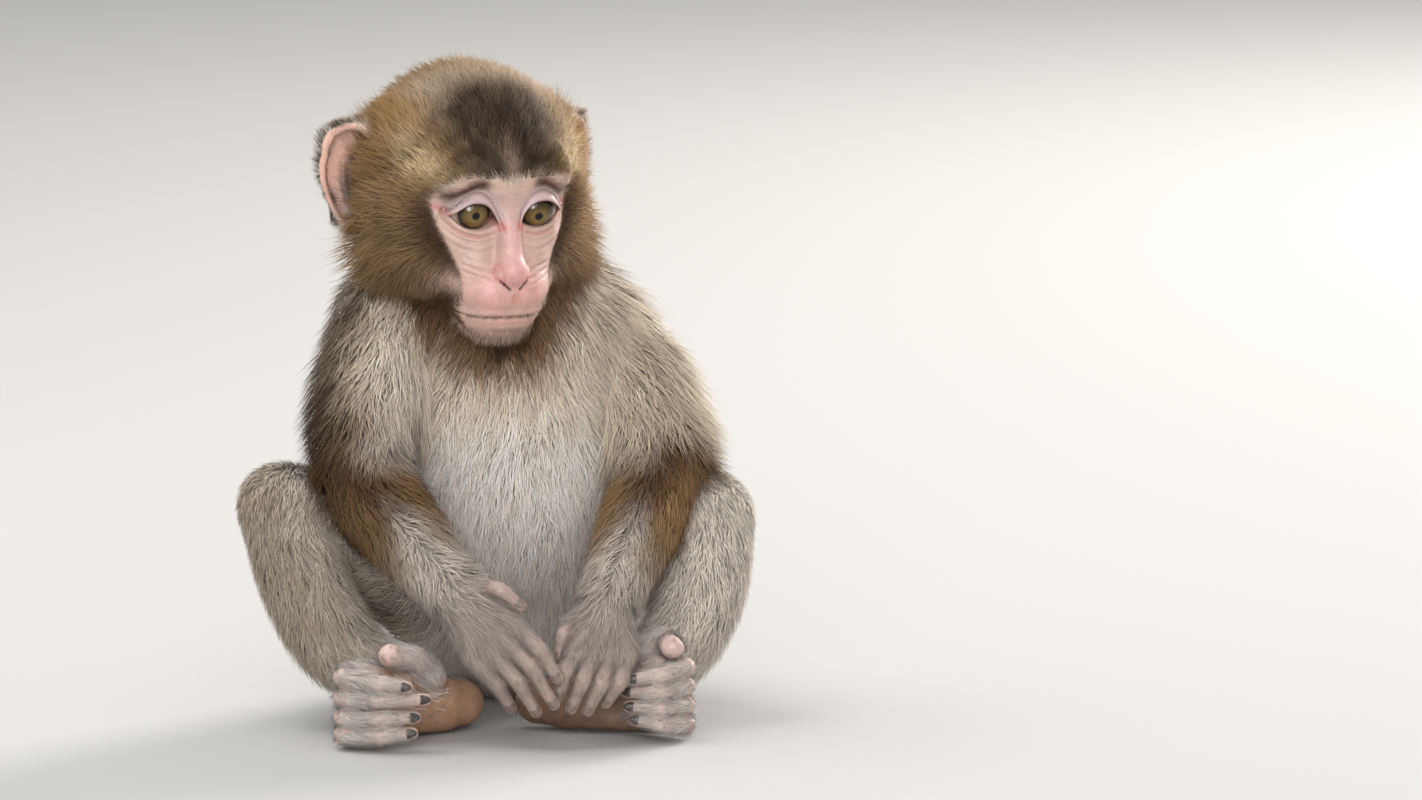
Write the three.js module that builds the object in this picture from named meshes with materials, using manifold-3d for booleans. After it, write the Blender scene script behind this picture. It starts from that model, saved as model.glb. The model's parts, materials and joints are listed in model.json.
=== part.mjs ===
// A young Japanese macaque, sitting with its knees drawn up and its hands resting between its feet.
// Millimetres, +Z up. The animal faces -Y, so its left side is on +X. The floor is the plane z = 0.
// Every solid reaches out to the tips of the coat.

import * as THREE from 'three';
import { mergeVertices } from 'three/addons/utils/BufferGeometryUtils.js';
import Module from 'manifold-3d';

const wasm = await Module();
wasm.setup();

// ---------------------------------------------------------------- driving dimensions

const JOINT_GAP = 0.34; // between pieces that touch
const SHORTEST_EDGE = 0.1;
const HALF_SPACE = 500; // side of the boxes that stand in for half-spaces
const MERGE = 1e-4; // corners closer than this are one corner
const DRAWS = 3; // steps in which a point is drawn onto a surface
const LONGEST_DRAW = 2;
const EVENING_PASSES = 8;

const BODY_TURN = 12; // degrees: the chest is turned towards the animal's left
const HEAD_TURN = 20;
const HEAD_BOW = 15;
const HEAD_CENTRE = vec(-6.8, -18, 221);

const EYE_RADIUS = 9;
const EYE = { across: 13.5, forward: 27, up: -7 };
const EYE_OPENING = { wide: 8.4, deep: 12, tall: 5.7, forward: 39 };
const MOUTH_LINE = { up: -42.6, back: 15 };
const JAW_BOX = { wide: 44, long: 80, tall: 60 }; // what of the head is lower jaw, below the mouth line

// The ear is half of a thin-walled shell that opens forwards and outwards.
const EAR = { wide: 15.5, tall: 20.5, thick: 8.8, across: 45, forward: -14, up: -7, turn: 50, lean: 4 };
const EAR_HOLLOW = { wall: 2, ahead: 4.5, deeper: 1 };

const FINGER_RADIUS = 3.3;
const TOE_RADIUS = 3.65;
const BIG_TOE_RADIUS = 5.4;

// Stations of the trunk from rump to neck: middle, half breadth and half depth, coat included.
const TRUNK = [
  { at: vec(4, 38, -4), wide: 26, deep: 22 },
  { at: vec(4, 37, 12), wide: 46, deep: 40 },
  { at: vec(4, 30, 42), wide: 54, deep: 49 },
  { at: vec(4, 15, 72), wide: 55, deep: 55 },
  { at: vec(4, 11, 102), wide: 54, deep: 54 },
  { at: vec(3, 12, 132), wide: 54, deep: 50 },
  { at: vec(2, 13, 156), wide: 51, deep: 46 },
  { at: vec(-1, 12, 176), wide: 47, deep: 42 },
  { at: vec(-4, 7, 192), wide: 41, deep: 38 },
  { at: vec(-6, 1, 206), wide: 30, deep: 30 },
];
const TRUNK_CUTS = { pelvis: 52, abdomen: 108, chest: 172 }; // heights of the parts' upper ends
const TRUNK_ENDS = { low: -20, high: 240 };

const NECK_CUT = { chin: vec(0, -39, 150), normal: vec(0.15, -0.6, 0.785) };

const TAIL = [
  { at: vec(6, 66, 15), wide: 11, deep: 11 },
  { at: vec(8, 82, 9), wide: 10, deep: 9.5 },
  { at: vec(10, 96, 7), wide: 7, deep: 7 },
];

// Each side has its own pose. Radii include the coat.
const SIDES = {
  right: {
    shoulder: vec(-43, 4, 161),
    elbow: vec(-54, -36, 98),
    wrist: vec(-14.4, -79, 58.5),
    knuckles: vec(2, -86, 40),
    knuckleLine: vec(0.64, 0.16, 0.75), // from little finger to index finger
    fingers: [
      { name: 'index', bend: vec(18, -92.5, 40), tip: vec(25.5, -93, 28) },
      { name: 'middle', bend: vec(15, -93.5, 33), tip: vec(24, -92, 17.5) },
      { name: 'ring', bend: vec(9.5, -92.5, 27.5), tip: vec(17, -89, 14) },
      { name: 'little', bend: vec(1.5, -88, 25.5), tip: vec(7, -84, 15) },
    ],
    thumb: { base: vec(-6, -79, 63), bend: vec(3.5, -85, 61.5), tip: vec(11, -85, 55.5) },
    hip: vec(-24, 20, 44),
    knee: vec(-85, -34, 87),
    calf: vec(-76, -38, 58),
    shin: vec(-65, -41, 35),
    ankle: vec(-47, -47, 20),
    heel: vec(-10, -49, 11),
    instep: vec(-33, -66, 13.4),
    toeRoots: vec(-52, -84, 15.4),
    toeHeights: [28.8, 21, 13.2, 5.4],
    toeKnuckle: vec(-58, -93, 0),
    toeBend: vec(-44, -99.5, 0),
    toeTips: [vec(-28, -97, 0), vec(-26, -96, 0), vec(-27, -96, 0), vec(-31, -98, 0)],
    bigToe: { base: vec(-24, -68, 24), bend: vec(-31, -77, 33), tip: vec(-40, -84, 35.5) },
  },
  left: {
    shoulder: vec(43, 19, 147),
    elbow: vec(66, -14, 98.5),
    wrist: vec(44, -61, 51.5),
    knuckles: vec(42.5, -77, 34),
    knuckleLine: vec(-0.98, -0.1, 0.12),
    fingers: [
      { name: 'index', bend: vec(28.5, -86.5, 29.5), tip: vec(25.6, -86, 19.5) },
      { name: 'middle', bend: vec(35.5, -88, 26.5), tip: vec(30.5, -87, 15) },
      { name: 'ring', bend: vec(42.5, -87, 25), tip: vec(37, -86, 14) },
      { name: 'little', bend: vec(49.5, -84.5, 25), tip: vec(44, -83, 16.5) },
    ],
    thumb: { base: vec(34, -66, 45), bend: vec(27.5, -73, 42), tip: vec(25.5, -75, 33) },
    hip: vec(28, 38, 44),
    knee: vec(85, -11, 80),
    calf: vec(83, -24, 58),
    shin: vec(75, -35, 36),
    ankle: vec(60, -43, 20),
    heel: vec(17, -46, 11),
    instep: vec(42, -56, 13.4),
    toeRoots: vec(66, -65, 15.4),
    toeHeights: [28.8, 21.2, 13.6, 6],
    toeKnuckle: vec(75, -72, 0),
    toeBend: vec(66, -80, 0),
    toeTips: [vec(53, -77, 0), vec(52, -76, 0), vec(52, -76, 0), vec(54, -77, 0)],
    bigToe: { base: vec(48, -55, 29), bend: vec(67, -63, 36), tip: vec(66, -76, 35.5) },
  },
};

const ARM = { shoulder: 26.5, upperArm: 27, elbow: 22, forearm: 20, wrist: 12.5 };
const HAND = { wristWide: 12.5, wristDeep: 9.5, palmWide: 14.5, palmDeep: 7.5, knuckleDeep: 6 };
const LEG = { hip: 29, thigh: 27, knee: 19.5, calf: 21, shin: 21, ankle: 15 };
const FOOT = { heelWide: 11.5, heelDeep: 10, archWide: 14, archDeep: 9, ballWide: 16, ballDeep: 8 };
const TIP_SHARE = 0.82; // a digit's radius at its tip, as a share of that at its root

const COLOURS = {
  crown: { color: 0x6b5236, roughness: 0.9, metalness: 0 },
  back: { color: 0x8a6f4c, roughness: 0.9, metalness: 0 },
  belly: { color: 0xb9ab98, roughness: 0.9, metalness: 0 },
  arm: { color: 0x7d6140, roughness: 0.9, metalness: 0 },
  leg: { color: 0xa08d76, roughness: 0.9, metalness: 0 },
  bareSkin: { color: 0xc79c8c, roughness: 0.6, metalness: 0 },
  ear: { color: 0xd08d80, roughness: 0.6, metalness: 0 },
  eye: { color: 0x6a5424, roughness: 0.08, metalness: 0 },
};

// ---------------------------------------------------------------- small tools

function vec(x, y, z) {
  return new THREE.Vector3(x, y, z);
}

function solidOf(geometry) {
  const bare = geometry.clone();
  bare.deleteAttribute('normal');
  bare.deleteAttribute('uv');
  const merged = mergeVertices(bare, MERGE);
  return new wasm.Manifold(new wasm.Mesh({
    numProp: 3,
    vertProperties: new Float32Array(merged.attributes.position.array),
    triVerts: new Uint32Array(merged.index.array),
  }));
}

function geometryOf(solid) {
  const mesh = solid.getMesh();
  const geometry = new THREE.BufferGeometry();
  const corners = mesh.vertProperties;
  geometry.setAttribute('position', new THREE.BufferAttribute(new Float32Array(corners), 3));
  geometry.setIndex(new THREE.BufferAttribute(new Uint32Array(mesh.triVerts), 1));
  return geometry;
}

function largestPiece(solid) {
  const pieces = solid.decompose();
  return pieces.reduce((best, piece) => (piece.volume() > best.volume() ? piece : best));
}

// A closed solid from rings of equal length, with a pole point beyond the first and the last ring.
function loft(rings, startPole, endPole) {
  const sides = rings[0].length;
  const points = rings.flat();
  const start = points.push(startPole) - 1;
  const end = points.push(endPole) - 1;
  const faces = [];
  for (let side = 0; side < sides; side += 1) {
    const next = (side + 1) % sides;
    for (let ring = 0; ring < rings.length - 1; ring += 1) {
      const low = ring * sides;
      const high = low + sides;
      faces.push(low + side, low + next, high + next, low + side, high + next, high + side);
    }
    const last = (rings.length - 1) * sides;
    faces.push(start, next, side, end, last + side, last + next);
  }
  const geometry = new THREE.BufferGeometry().setFromPoints(points);
  geometry.setIndex(faces);
  return facingOut(geometry);
}

function facingOut(geometry) {
  const solid = solidOf(geometry);
  if (solid.volume() > 0) return solid;
  const turned = geometry.clone();
  const index = Array.from(geometry.index.array);
  for (let face = 0; face < index.length; face += 3) {
    [index[face + 1], index[face + 2]] = [index[face + 2], index[face + 1]];
  }
  turned.setIndex(index);
  return solidOf(turned);
}

// One ring of an oval section: wide runs along "across", deep runs square to it and to the tangent.
function ovalRing(middle, tangent, across, wide, deep, sides) {
  const wideAxis = across.clone().addScaledVector(tangent, -across.dot(tangent)).normalize();
  const deepAxis = tangent.clone().cross(wideAxis);
  return Array.from({ length: sides }, (_, side) => {
    const angle = (2 * Math.PI * (side + 0.5)) / sides;
    return middle.clone()
      .addScaledVector(wideAxis, wide * Math.cos(angle))
      .addScaledVector(deepAxis, deep * Math.sin(angle));
  });
}

// A limb: oval sections along a smooth curve through the stations, with rounded ends.
function limb(stations, across, { sides = 12, steps = 1, capRings = 2, grow = 0 } = {}) {
  const path = new THREE.CatmullRomCurve3(stations.map((s) => s.at), false, 'centripetal');
  const sizes = new THREE.CatmullRomCurve3(stations.map((s) => vec(s.wide, s.deep, 0)));
  const ringCount = (stations.length - 1) * steps;
  const rings = [];
  const poles = [];
  const capAngles = Array.from({ length: capRings }, (_, i) => ((i + 1) * Math.PI) / 2 / (capRings + 1));
  const cap = (t, sense) => {
    const middle = path.getPoint(t);
    const tangent = path.getTangent(t);
    const size = sizes.getPoint(t);
    const reach = Math.min(size.x, size.y) + grow;
    poles.push(middle.clone().addScaledVector(tangent, sense * reach));
    return capAngles.map((angle) => ovalRing(
      middle.clone().addScaledVector(tangent, sense * reach * Math.sin(angle)),
      tangent,
      across,
      (size.x + grow) * Math.cos(angle),
      (size.y + grow) * Math.cos(angle),
      sides,
    ));
  };
  rings.push(...cap(0, -1).reverse());
  for (let ring = 0; ring <= ringCount; ring += 1) {
    const t = ring / ringCount;
    const size = sizes.getPoint(t);
    rings.push(ovalRing(
      path.getPoint(t), path.getTangent(t), across, size.x + grow, size.y + grow, sides,
    ));
  }
  rings.push(...cap(1, 1));
  return loft(rings, poles[0], poles[1]);
}

// The half-space behind a plane, as a large box: what lies further along the normal is outside it.
function behind(point, normal, shift = 0) {
  const out = normal.clone().normalize();
  const box = new THREE.BoxGeometry(HALF_SPACE, HALF_SPACE, HALF_SPACE);
  const turn = new THREE.Quaternion().setFromUnitVectors(vec(0, 0, 1), out);
  const middle = point.clone().addScaledVector(out, shift - HALF_SPACE / 2);
  box.applyMatrix4(new THREE.Matrix4().compose(middle, turn, vec(1, 1, 1)));
  return solidOf(box);
}

function stretchedBall(middle, size, turn, widthSegments = 20, heightSegments = 14) {
  const ball = new THREE.SphereGeometry(1, widthSegments, heightSegments);
  ball.applyMatrix4(new THREE.Matrix4().compose(middle, turn, size));
  return solidOf(ball);
}

function direction(from, to) {
  return to.clone().sub(from).normalize();
}

// The normal of the plane that parts two limbs meeting at a joint.
function jointNormal(from, joint, to) {
  return direction(from, joint).add(direction(joint, to)).normalize();
}

// ---------------------------------------------------------------- placing and parting the pieces

const aboveFloor = behind(vec(0, 0, 0), vec(0, 0, -1));
const placed = [];

// Keeps a piece clear of every piece placed before it and cuts it flat at the floor.
// make(grow) gives the piece's solid, thicker by "grow" all round.
function place(name, look, anchor, make) {
  let solid = make(0).intersect(aboveFloor);
  placed.forEach((other) => {
    solid = solid.subtract(other.clearance);
  });
  solid = largestPiece(solid.simplify(SHORTEST_EDGE));
  placed.push({ name, look, anchor, solid, clearance: make(JOINT_GAP) });
}

// Adds a piece that is already clear of its neighbours, inside a volume they keep clear of.
function keep(name, look, anchor, solid) {
  placed.push({ name, look, anchor, solid: largestPiece(solid.simplify(SHORTEST_EDGE)), clearance: solid });
}

function meshOf({ name, look, anchor, solid }) {
  const geometry = geometryOf(solid).translate(-anchor.x, -anchor.y, -anchor.z).toNonIndexed();
  geometry.computeVertexNormals();
  const mesh = new THREE.Mesh(geometry, new THREE.MeshStandardMaterial(COLOURS[look]));
  mesh.name = name;
  mesh.position.copy(anchor);
  return mesh;
}

// ---------------------------------------------------------------- head

const degrees = THREE.MathUtils.degToRad;
const headTurn = new THREE.Quaternion()
  .setFromEuler(new THREE.Euler(0, 0, degrees(HEAD_TURN)))
  .multiply(new THREE.Quaternion().setFromEuler(new THREE.Euler(degrees(HEAD_BOW), 0, 0)));

// A place on the head: across to the animal's left, forward to the nose, up to the crown.
function onHead(across, forward, up) {
  return vec(across, -forward, up).applyQuaternion(headTurn).add(HEAD_CENTRE);
}

// Bare head as a blend of simple masses, in head places (across, forward, up).
const SKULL_SIZE = vec(31, 41, 28);
const HEAD_BALLS = [
  { name: 'skull', at: vec(0, -6, 2.5), size: SKULL_SIZE },
  { name: 'throat', at: vec(0, 2, -30), size: vec(25, 24, 19) },
  { name: 'muzzle', at: vec(0, 33, -33.5), size: vec(18.5, 18, 14.5) },
  { name: 'chin', at: vec(0, 33, -49.5), size: vec(12.5, 10.5, 10) },
  { name: 'nose', at: vec(0, 45, -26), size: vec(6, 5.5, 5) },
];
const HEAD_BARS = [
  { name: 'brow', from: vec(0, 30.5, 5), to: vec(19, 26.5, 7), radii: [5.5, 5.5], paired: true },
  { name: 'browEnd', from: vec(19, 26.5, 7), to: vec(28, 16, 0), radii: [5.5, 5], paired: true },
  { name: 'cheekbone', from: vec(17, 26, -18), to: vec(28, 12, -11), radii: [8, 7], paired: true },
  { name: 'bridge', from: vec(0, 31, -2), to: vec(0, 42, -24), radii: [5, 6.5], paired: false },
  { name: 'jaw', from: vec(23, -2, -30), to: vec(5, 30, -47), radii: [9.5, 9.5], paired: true },
  { name: 'cheek', from: vec(23, 3, -17), to: vec(15.5, 22, -31), radii: [9.5, 9], paired: true },
];
const LID_RADIUS = EYE_RADIUS + 2;
const HEAD_BLEND = 9;

function ballDistance(place, ball) {
  const { size } = ball;
  const offset = place.clone().sub(ball.at);
  const scaled = offset.clone().divide(size);
  const steep = scaled.clone().divide(size);
  const reach = scaled.length();
  return reach < 1e-6 ? -Math.min(size.x, size.y, size.z) : (reach * (reach - 1)) / steep.length();
}

function barDistance(at, { from, to, radii }) {
  const along = to.clone().sub(from);
  const offset = at.clone().sub(from);
  const t = THREE.MathUtils.clamp(offset.dot(along) / along.lengthSq(), 0, 1);
  return offset.addScaledVector(along, -t).length() - THREE.MathUtils.lerp(radii[0], radii[1], t);
}

function blend(a, b, width) {
  const near = Math.max(width - Math.abs(a - b), 0) / width;
  return Math.min(a, b) - (near * near * width) / 4;
}

function bareHeadDistance(at) {
  const mirrored = vec(Math.abs(at.x), at.y, at.z);
  let distance = Infinity;
  HEAD_BALLS.forEach((ball) => {
    distance = blend(distance, ballDistance(at, ball), HEAD_BLEND);
  });
  HEAD_BARS.forEach((bar) => {
    distance = blend(distance, barDistance(bar.paired ? mirrored : at, bar), HEAD_BLEND);
  });
  const lid = mirrored.distanceTo(vec(EYE.across, EYE.forward, EYE.up)) - LID_RADIUS;
  return blend(distance, lid, 2);
}

// Depth of the coat on the head: none on the bare face, deepest on the cheeks.
const FACE_EDGE = { half: 27, brow: 12, browDrop: 7, back: 21, taper: 0.28, jaw: 15, soft: 20 };
const HEAD_LATTICE = {
  across: [-60, 60, -20, 20], forward: [-76, 64, 30, 50], up: [-76, 60, -56, 0], fine: 5.7, coarse: 9.8,
};
const HEAD_COAT = { crown: 7.5, cheek: 6.5, nape: 5 };

function headCoat({ x, y: forward, z: up }) {
  const { smoothstep } = THREE.MathUtils;
  const side = Math.abs(x);
  const faceHalf = Math.max(FACE_EDGE.half + Math.min(up + 4, 0) * FACE_EDGE.taper, FACE_EDGE.jaw);
  const outside = Math.max(
    side - faceHalf,
    up - (FACE_EDGE.brow - FACE_EDGE.browDrop * (side / FACE_EDGE.half) ** 2),
    FACE_EDGE.back - forward,
  );
  const cheek = smoothstep(side, 14, 30) * smoothstep(-up, -34, -4);
  const nape = smoothstep(-forward, 10, 40);
  const depth = HEAD_COAT.crown + HEAD_COAT.cheek * cheek + HEAD_COAT.nape * nape;
  return depth * smoothstep(outside, 0, FACE_EDGE.soft);
}

// Lattice lines from one end to the other, closer together inside the fine stretch.
function ticks(from, to, fineFrom, fineTo, fine, coarse) {
  const lines = [from];
  while (lines.at(-1) < to) {
    const last = lines.at(-1);
    const step = last >= fineFrom - fine && last < fineTo ? fine : coarse;
    lines.push(last < fineFrom && last + step > fineFrom ? fineFrom : last + step);
  }
  return lines;
}

// A closed solid around the places where the field is below zero: one point in each lattice cell
// that the surface crosses, drawn onto the surface, and one quad for each crossed lattice edge.
function solidFromField(field, xs, ys, zs, toBody) {
  const counts = [xs.length, ys.length, zs.length];
  const strides = [1, counts[0], counts[0] * counts[1]];
  const total = counts[0] * counts[1] * counts[2];
  const cornerOf = (id) => vec(
    xs[id % counts[0]], ys[Math.floor(id / strides[1]) % counts[1]], zs[Math.floor(id / strides[2])],
  );
  const values = Array.from({ length: total }, (_, id) => field(cornerOf(id)));
  const crossed = (a, b) => (values[a] < 0) !== (values[b] < 0);
  const points = [];
  const neighbours = [];
  const pointOfCell = new Map();
  const cellPoint = (cell) => {
    if (pointOfCell.has(cell)) return pointOfCell.get(cell);
    const middle = vec(0, 0, 0);
    let hits = 0;
    for (let axis = 0; axis < 3; axis += 1) {
      const [u, v] = [0, 1, 2].filter((other) => other !== axis).map((other) => strides[other]);
      for (const start of [cell, cell + u, cell + v, cell + u + v]) {
        const end = start + strides[axis];
        if (crossed(start, end)) {
          const share = values[start] / (values[start] - values[end]);
          middle.add(cornerOf(start).lerp(cornerOf(end), share));
          hits += 1;
        }
      }
    }
    const point = middle.divideScalar(hits);
    points.push(drawnOnto(field, point));
    neighbours.push(new Set());
    pointOfCell.set(cell, points.length - 1);
    return points.length - 1;
  };
  const faces = [];
  for (let id = 0; id < total; id += 1) {
    for (let axis = 0; axis < 3; axis += 1) {
      const end = id + strides[axis];
      const u = strides[(axis + 1) % 3];
      const v = strides[(axis + 2) % 3];
      if (end < total && crossed(id, end)) {
        const [a, b, c, d] = [id, id - u, id - u - v, id - v].map(cellPoint);
        faces.push(...(values[id] < 0 ? [a, b, c, a, c, d] : [a, c, b, a, d, c]));
        [[a, b], [b, c], [c, d], [d, a]].forEach(([one, other]) => {
          neighbours[one].add(other);
          neighbours[other].add(one);
        });
      }
    }
  }
  const geometry = new THREE.BufferGeometry();
  geometry.setFromPoints(evenedOut(field, points, neighbours).map(toBody));
  geometry.setIndex(faces);
  return facingOut(geometry);
}

// The points spread evenly over the surface: each moves towards its neighbours' middle, then back on.
function evenedOut(field, points, neighbours) {
  let spread = points;
  for (let pass = 0; pass < EVENING_PASSES; pass += 1) {
    const middles = neighbours.map((near) => {
      const middle = vec(0, 0, 0);
      near.forEach((other) => middle.add(spread[other]));
      return middle.divideScalar(near.size);
    });
    spread = spread.map((point, i) => drawnOnto(field, point.clone().lerp(middles[i], 0.5)));
  }
  return spread;
}

// How fast a field grows along each axis, taken over a short stretch.
function slopeOf(field, at, nudge = 2) {
  const rise = (axis) => (field(at.clone().addScaledVector(axis, nudge))
    - field(at.clone().addScaledVector(axis, -nudge))) / (2 * nudge);
  return vec(rise(vec(1, 0, 0)), rise(vec(0, 1, 0)), rise(vec(0, 0, 1)));
}

// The point moved, in a few short draws, to the nearest place where the field is zero.
function drawnOnto(field, point) {
  const drawn = point.clone();
  for (let draw = 0; draw < DRAWS; draw += 1) {
    const slope = slopeOf(field, drawn);
    const move = THREE.MathUtils.clamp(-field(drawn) / slope.length(), -LONGEST_DRAW, LONGEST_DRAW);
    drawn.addScaledVector(slope.normalize(), move);
  }
  return drawn;
}

// Distance to the tips of the coat, whose depth is taken at its roots: inwards, square to the skull.
function furryHeadDistance(at) {
  const bare = bareHeadDistance(at);
  const outward = at.clone().divide(SKULL_SIZE).divide(SKULL_SIZE).normalize();
  return bare - headCoat(at.clone().addScaledVector(outward, -bare));
}

function furryHead(grow) {
  const { across, forward, up, fine, coarse } = HEAD_LATTICE;
  return solidFromField(
    (at) => furryHeadDistance(at) - grow,
    ticks(...across, fine, coarse),
    ticks(...forward, fine, coarse),
    ticks(...up, fine, coarse),
    (at) => onHead(at.x, at.y, at.z),
  );
}

function eyePlace(sense) {
  return onHead(sense * EYE.across, EYE.forward, EYE.up);
}

function eyeOpening(sense) {
  const size = vec(EYE_OPENING.wide, EYE_OPENING.deep, EYE_OPENING.tall);
  const middle = onHead(sense * EYE.across, EYE_OPENING.forward, EYE.up);
  return stretchedBall(middle, size, headTurn, 12, 8);
}

function jawRegion(grow) {
  const { wide, long, tall } = JAW_BOX;
  const box = new THREE.BoxGeometry(wide + 2 * grow, long, tall);
  const middle = onHead(0, MOUTH_LINE.back + long / 2 - grow, MOUTH_LINE.up - tall / 2 + grow);
  box.applyMatrix4(new THREE.Matrix4().compose(middle, headTurn, vec(1, 1, 1)));
  return solidOf(box);
}

function ear(sense, grow) {
  const turn = headTurn.clone().multiply(
    new THREE.Quaternion().setFromEuler(
      new THREE.Euler(0, degrees(-EAR.lean * sense), degrees(EAR.turn * sense)),
    ),
  );
  const outward = vec(0, -1, 0).applyQuaternion(turn);
  const middle = onHead(sense * EAR.across, EAR.forward, EAR.up);
  const size = (less) => vec(EAR.wide, EAR.thick, EAR.tall).addScalar(grow - less);
  const shell = stretchedBall(middle, size(0), turn, 12, 8);
  const hollow = stretchedBall(
    middle.clone().addScaledVector(outward, EAR_HOLLOW.ahead),
    size(EAR_HOLLOW.wall).add(vec(0, EAR_HOLLOW.deeper, 0)),
    turn,
    10,
    7,
  );
  return grow > 0 ? shell : shell.subtract(hollow);
}

// The head and the trunk part along one sloping plane, from under the chin to the nape.
const neckNormal = NECK_CUT.normal.clone().normalize();

function aboveNeck(solid, grow) {
  return solid.intersect(behind(NECK_CUT.chin, neckNormal.clone().negate(), grow));
}

function belowNeck(solid, grow) {
  return solid.intersect(behind(NECK_CUT.chin, neckNormal, grow));
}

const furry = furryHead(0);
const furryClearance = furryHead(JOINT_GAP);

for (const [side, sense] of [['left', 1], ['right', -1]]) {
  place(`eye_${side}`, 'eye', eyePlace(sense), (grow) => {
    const ball = EYE_RADIUS + grow;
    return stretchedBall(eyePlace(sense), vec(ball, ball, ball), headTurn, 11, 8);
  });
}
const eyeOpenings = eyeOpening(1).add(eyeOpening(-1));
place('head', 'crown', HEAD_CENTRE, (grow) => {
  const whole = aboveNeck(grow > 0 ? furryClearance : furry, grow);
  return grow > 0 ? whole : whole.subtract(eyeOpenings).subtract(jawRegion(JOINT_GAP));
});
keep('lower_jaw', 'bareSkin', onHead(0, 30, -48), aboveNeck(furry, 0).intersect(jawRegion(0)));

for (const [side, sense] of [['left', 1], ['right', -1]]) {
  place(`ear_${side}`, 'ear', onHead(sense * EAR.across, EAR.forward, EAR.up), (grow) => ear(sense, grow));
}

// ---------------------------------------------------------------- trunk and tail

const acrossBody = vec(Math.cos(degrees(BODY_TURN)), Math.sin(degrees(BODY_TURN)), 0);

function trunk(grow) {
  return limb(TRUNK, acrossBody, { sides: 16, capRings: 1, grow });
}

function slab(solid, low, high, grow) {
  return solid
    .intersect(behind(vec(0, 0, high), vec(0, 0, 1), grow))
    .intersect(behind(vec(0, 0, low), vec(0, 0, -1), grow));
}

for (const [name, look, low, high] of [
  ['chest', 'belly', TRUNK_CUTS.abdomen, TRUNK_CUTS.chest],
  ['abdomen', 'belly', TRUNK_CUTS.pelvis, TRUNK_CUTS.abdomen],
  ['pelvis', 'back', TRUNK_ENDS.low, TRUNK_CUTS.pelvis],
  ['neck', 'crown', TRUNK_CUTS.chest, TRUNK_ENDS.high],
]) {
  place(name, look, vec(0, 12, low), (grow) => (
    belowNeck(slab(trunk(grow), low, high, grow), grow)));
}
place('tail', 'back', TAIL[0].at, (grow) => limb(TAIL, acrossBody, { sides: 10, capRings: 1, grow }));

// ---------------------------------------------------------------- limbs

const halfway = (a, b, share = 0.5) => a.clone().lerp(b, share);
const round = (at, radius) => ({ at, wide: radius, deep: radius });
const viewAcross = vec(1, 0, 0);
const straightUp = vec(0, 0, 1);

function upperArm(pose, grow) {
  const { shoulder, elbow } = pose;
  const stations = [
    round(shoulder, ARM.shoulder),
    round(halfway(shoulder, elbow, 0.4), ARM.upperArm),
    round(halfway(shoulder, elbow, 0.75), (ARM.upperArm + ARM.elbow) / 2),
    round(elbow, ARM.elbow),
  ];
  return limb(stations, viewAcross, { grow });
}

function forearm(pose, grow) {
  const { elbow, wrist } = pose;
  const stations = [
    round(elbow, ARM.elbow),
    round(halfway(elbow, wrist, 0.35), ARM.forearm),
    round(halfway(elbow, wrist, 0.75), (ARM.forearm + ARM.wrist) / 2),
    round(wrist, ARM.wrist),
  ];
  return limb(stations, viewAcross, { grow });
}

function palm(pose, grow) {
  const { wrist, knuckles, knuckleLine } = pose;
  const stations = [
    { at: wrist, wide: HAND.wristWide, deep: HAND.wristDeep },
    { at: halfway(wrist, knuckles, 0.6), wide: HAND.palmWide, deep: HAND.palmDeep },
    { at: knuckles, wide: HAND.palmWide, deep: HAND.knuckleDeep },
  ];
  return limb(stations, knuckleLine, { sides: 12, grow });
}

function thigh(pose, grow) {
  const { hip, knee } = pose;
  const stations = [
    round(hip, LEG.hip), round(halfway(hip, knee), LEG.thigh), round(knee, LEG.knee),
  ];
  return limb(stations, viewAcross, { grow });
}

function shank(pose, grow) {
  const { knee, calf, shin, ankle } = pose;
  const stations = [
    round(knee, LEG.knee), round(calf, LEG.calf), round(shin, LEG.shin), round(ankle, LEG.ankle),
  ];
  return limb(stations, viewAcross, { grow });
}

// The foot stands on its outer edge, so its breadth runs straight up.
function foot(pose, grow) {
  const { heel, instep, toeRoots } = pose;
  const stations = [
    { at: heel, wide: FOOT.heelWide, deep: FOOT.heelDeep },
    { at: instep, wide: FOOT.archWide, deep: FOOT.archDeep },
    { at: toeRoots, wide: FOOT.ballWide, deep: FOOT.ballDeep },
  ];
  return limb(stations, straightUp, { sides: 14, grow });
}

// A finger or toe: a slim rounded tube through its root, its bend and its tip.
function digit(points, across, radius, grow) {
  const steps = points.length > 3 ? 1 : 2;
  const stations = points.map((at, i) => round(at, radius * (i === points.length - 1 ? TIP_SHARE : 1)));
  return limb(stations, across, { sides: 6, steps, capRings: 1, grow });
}

function cutAt(solid, point, normal, grow) {
  return solid.intersect(behind(point, normal, grow));
}

function placeArm(side, pose) {
  const { shoulder, elbow, wrist, knuckles } = pose;
  const elbowCut = jointNormal(shoulder, elbow, wrist);
  const wristCut = jointNormal(elbow, wrist, knuckles);
  place(`upper_arm_${side}`, 'arm', shoulder, (grow) => cutAt(upperArm(pose, grow), elbow, elbowCut, grow));
  place(`forearm_${side}`, 'arm', elbow, (grow) => {
    const lower = cutAt(forearm(pose, grow), elbow, elbowCut.clone().negate(), grow);
    return cutAt(lower, wrist, wristCut, grow);
  });
  place(`hand_${side}`, 'bareSkin', wrist, (grow) => (
    cutAt(palm(pose, grow), wrist, wristCut.clone().negate(), grow)));
}

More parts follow.
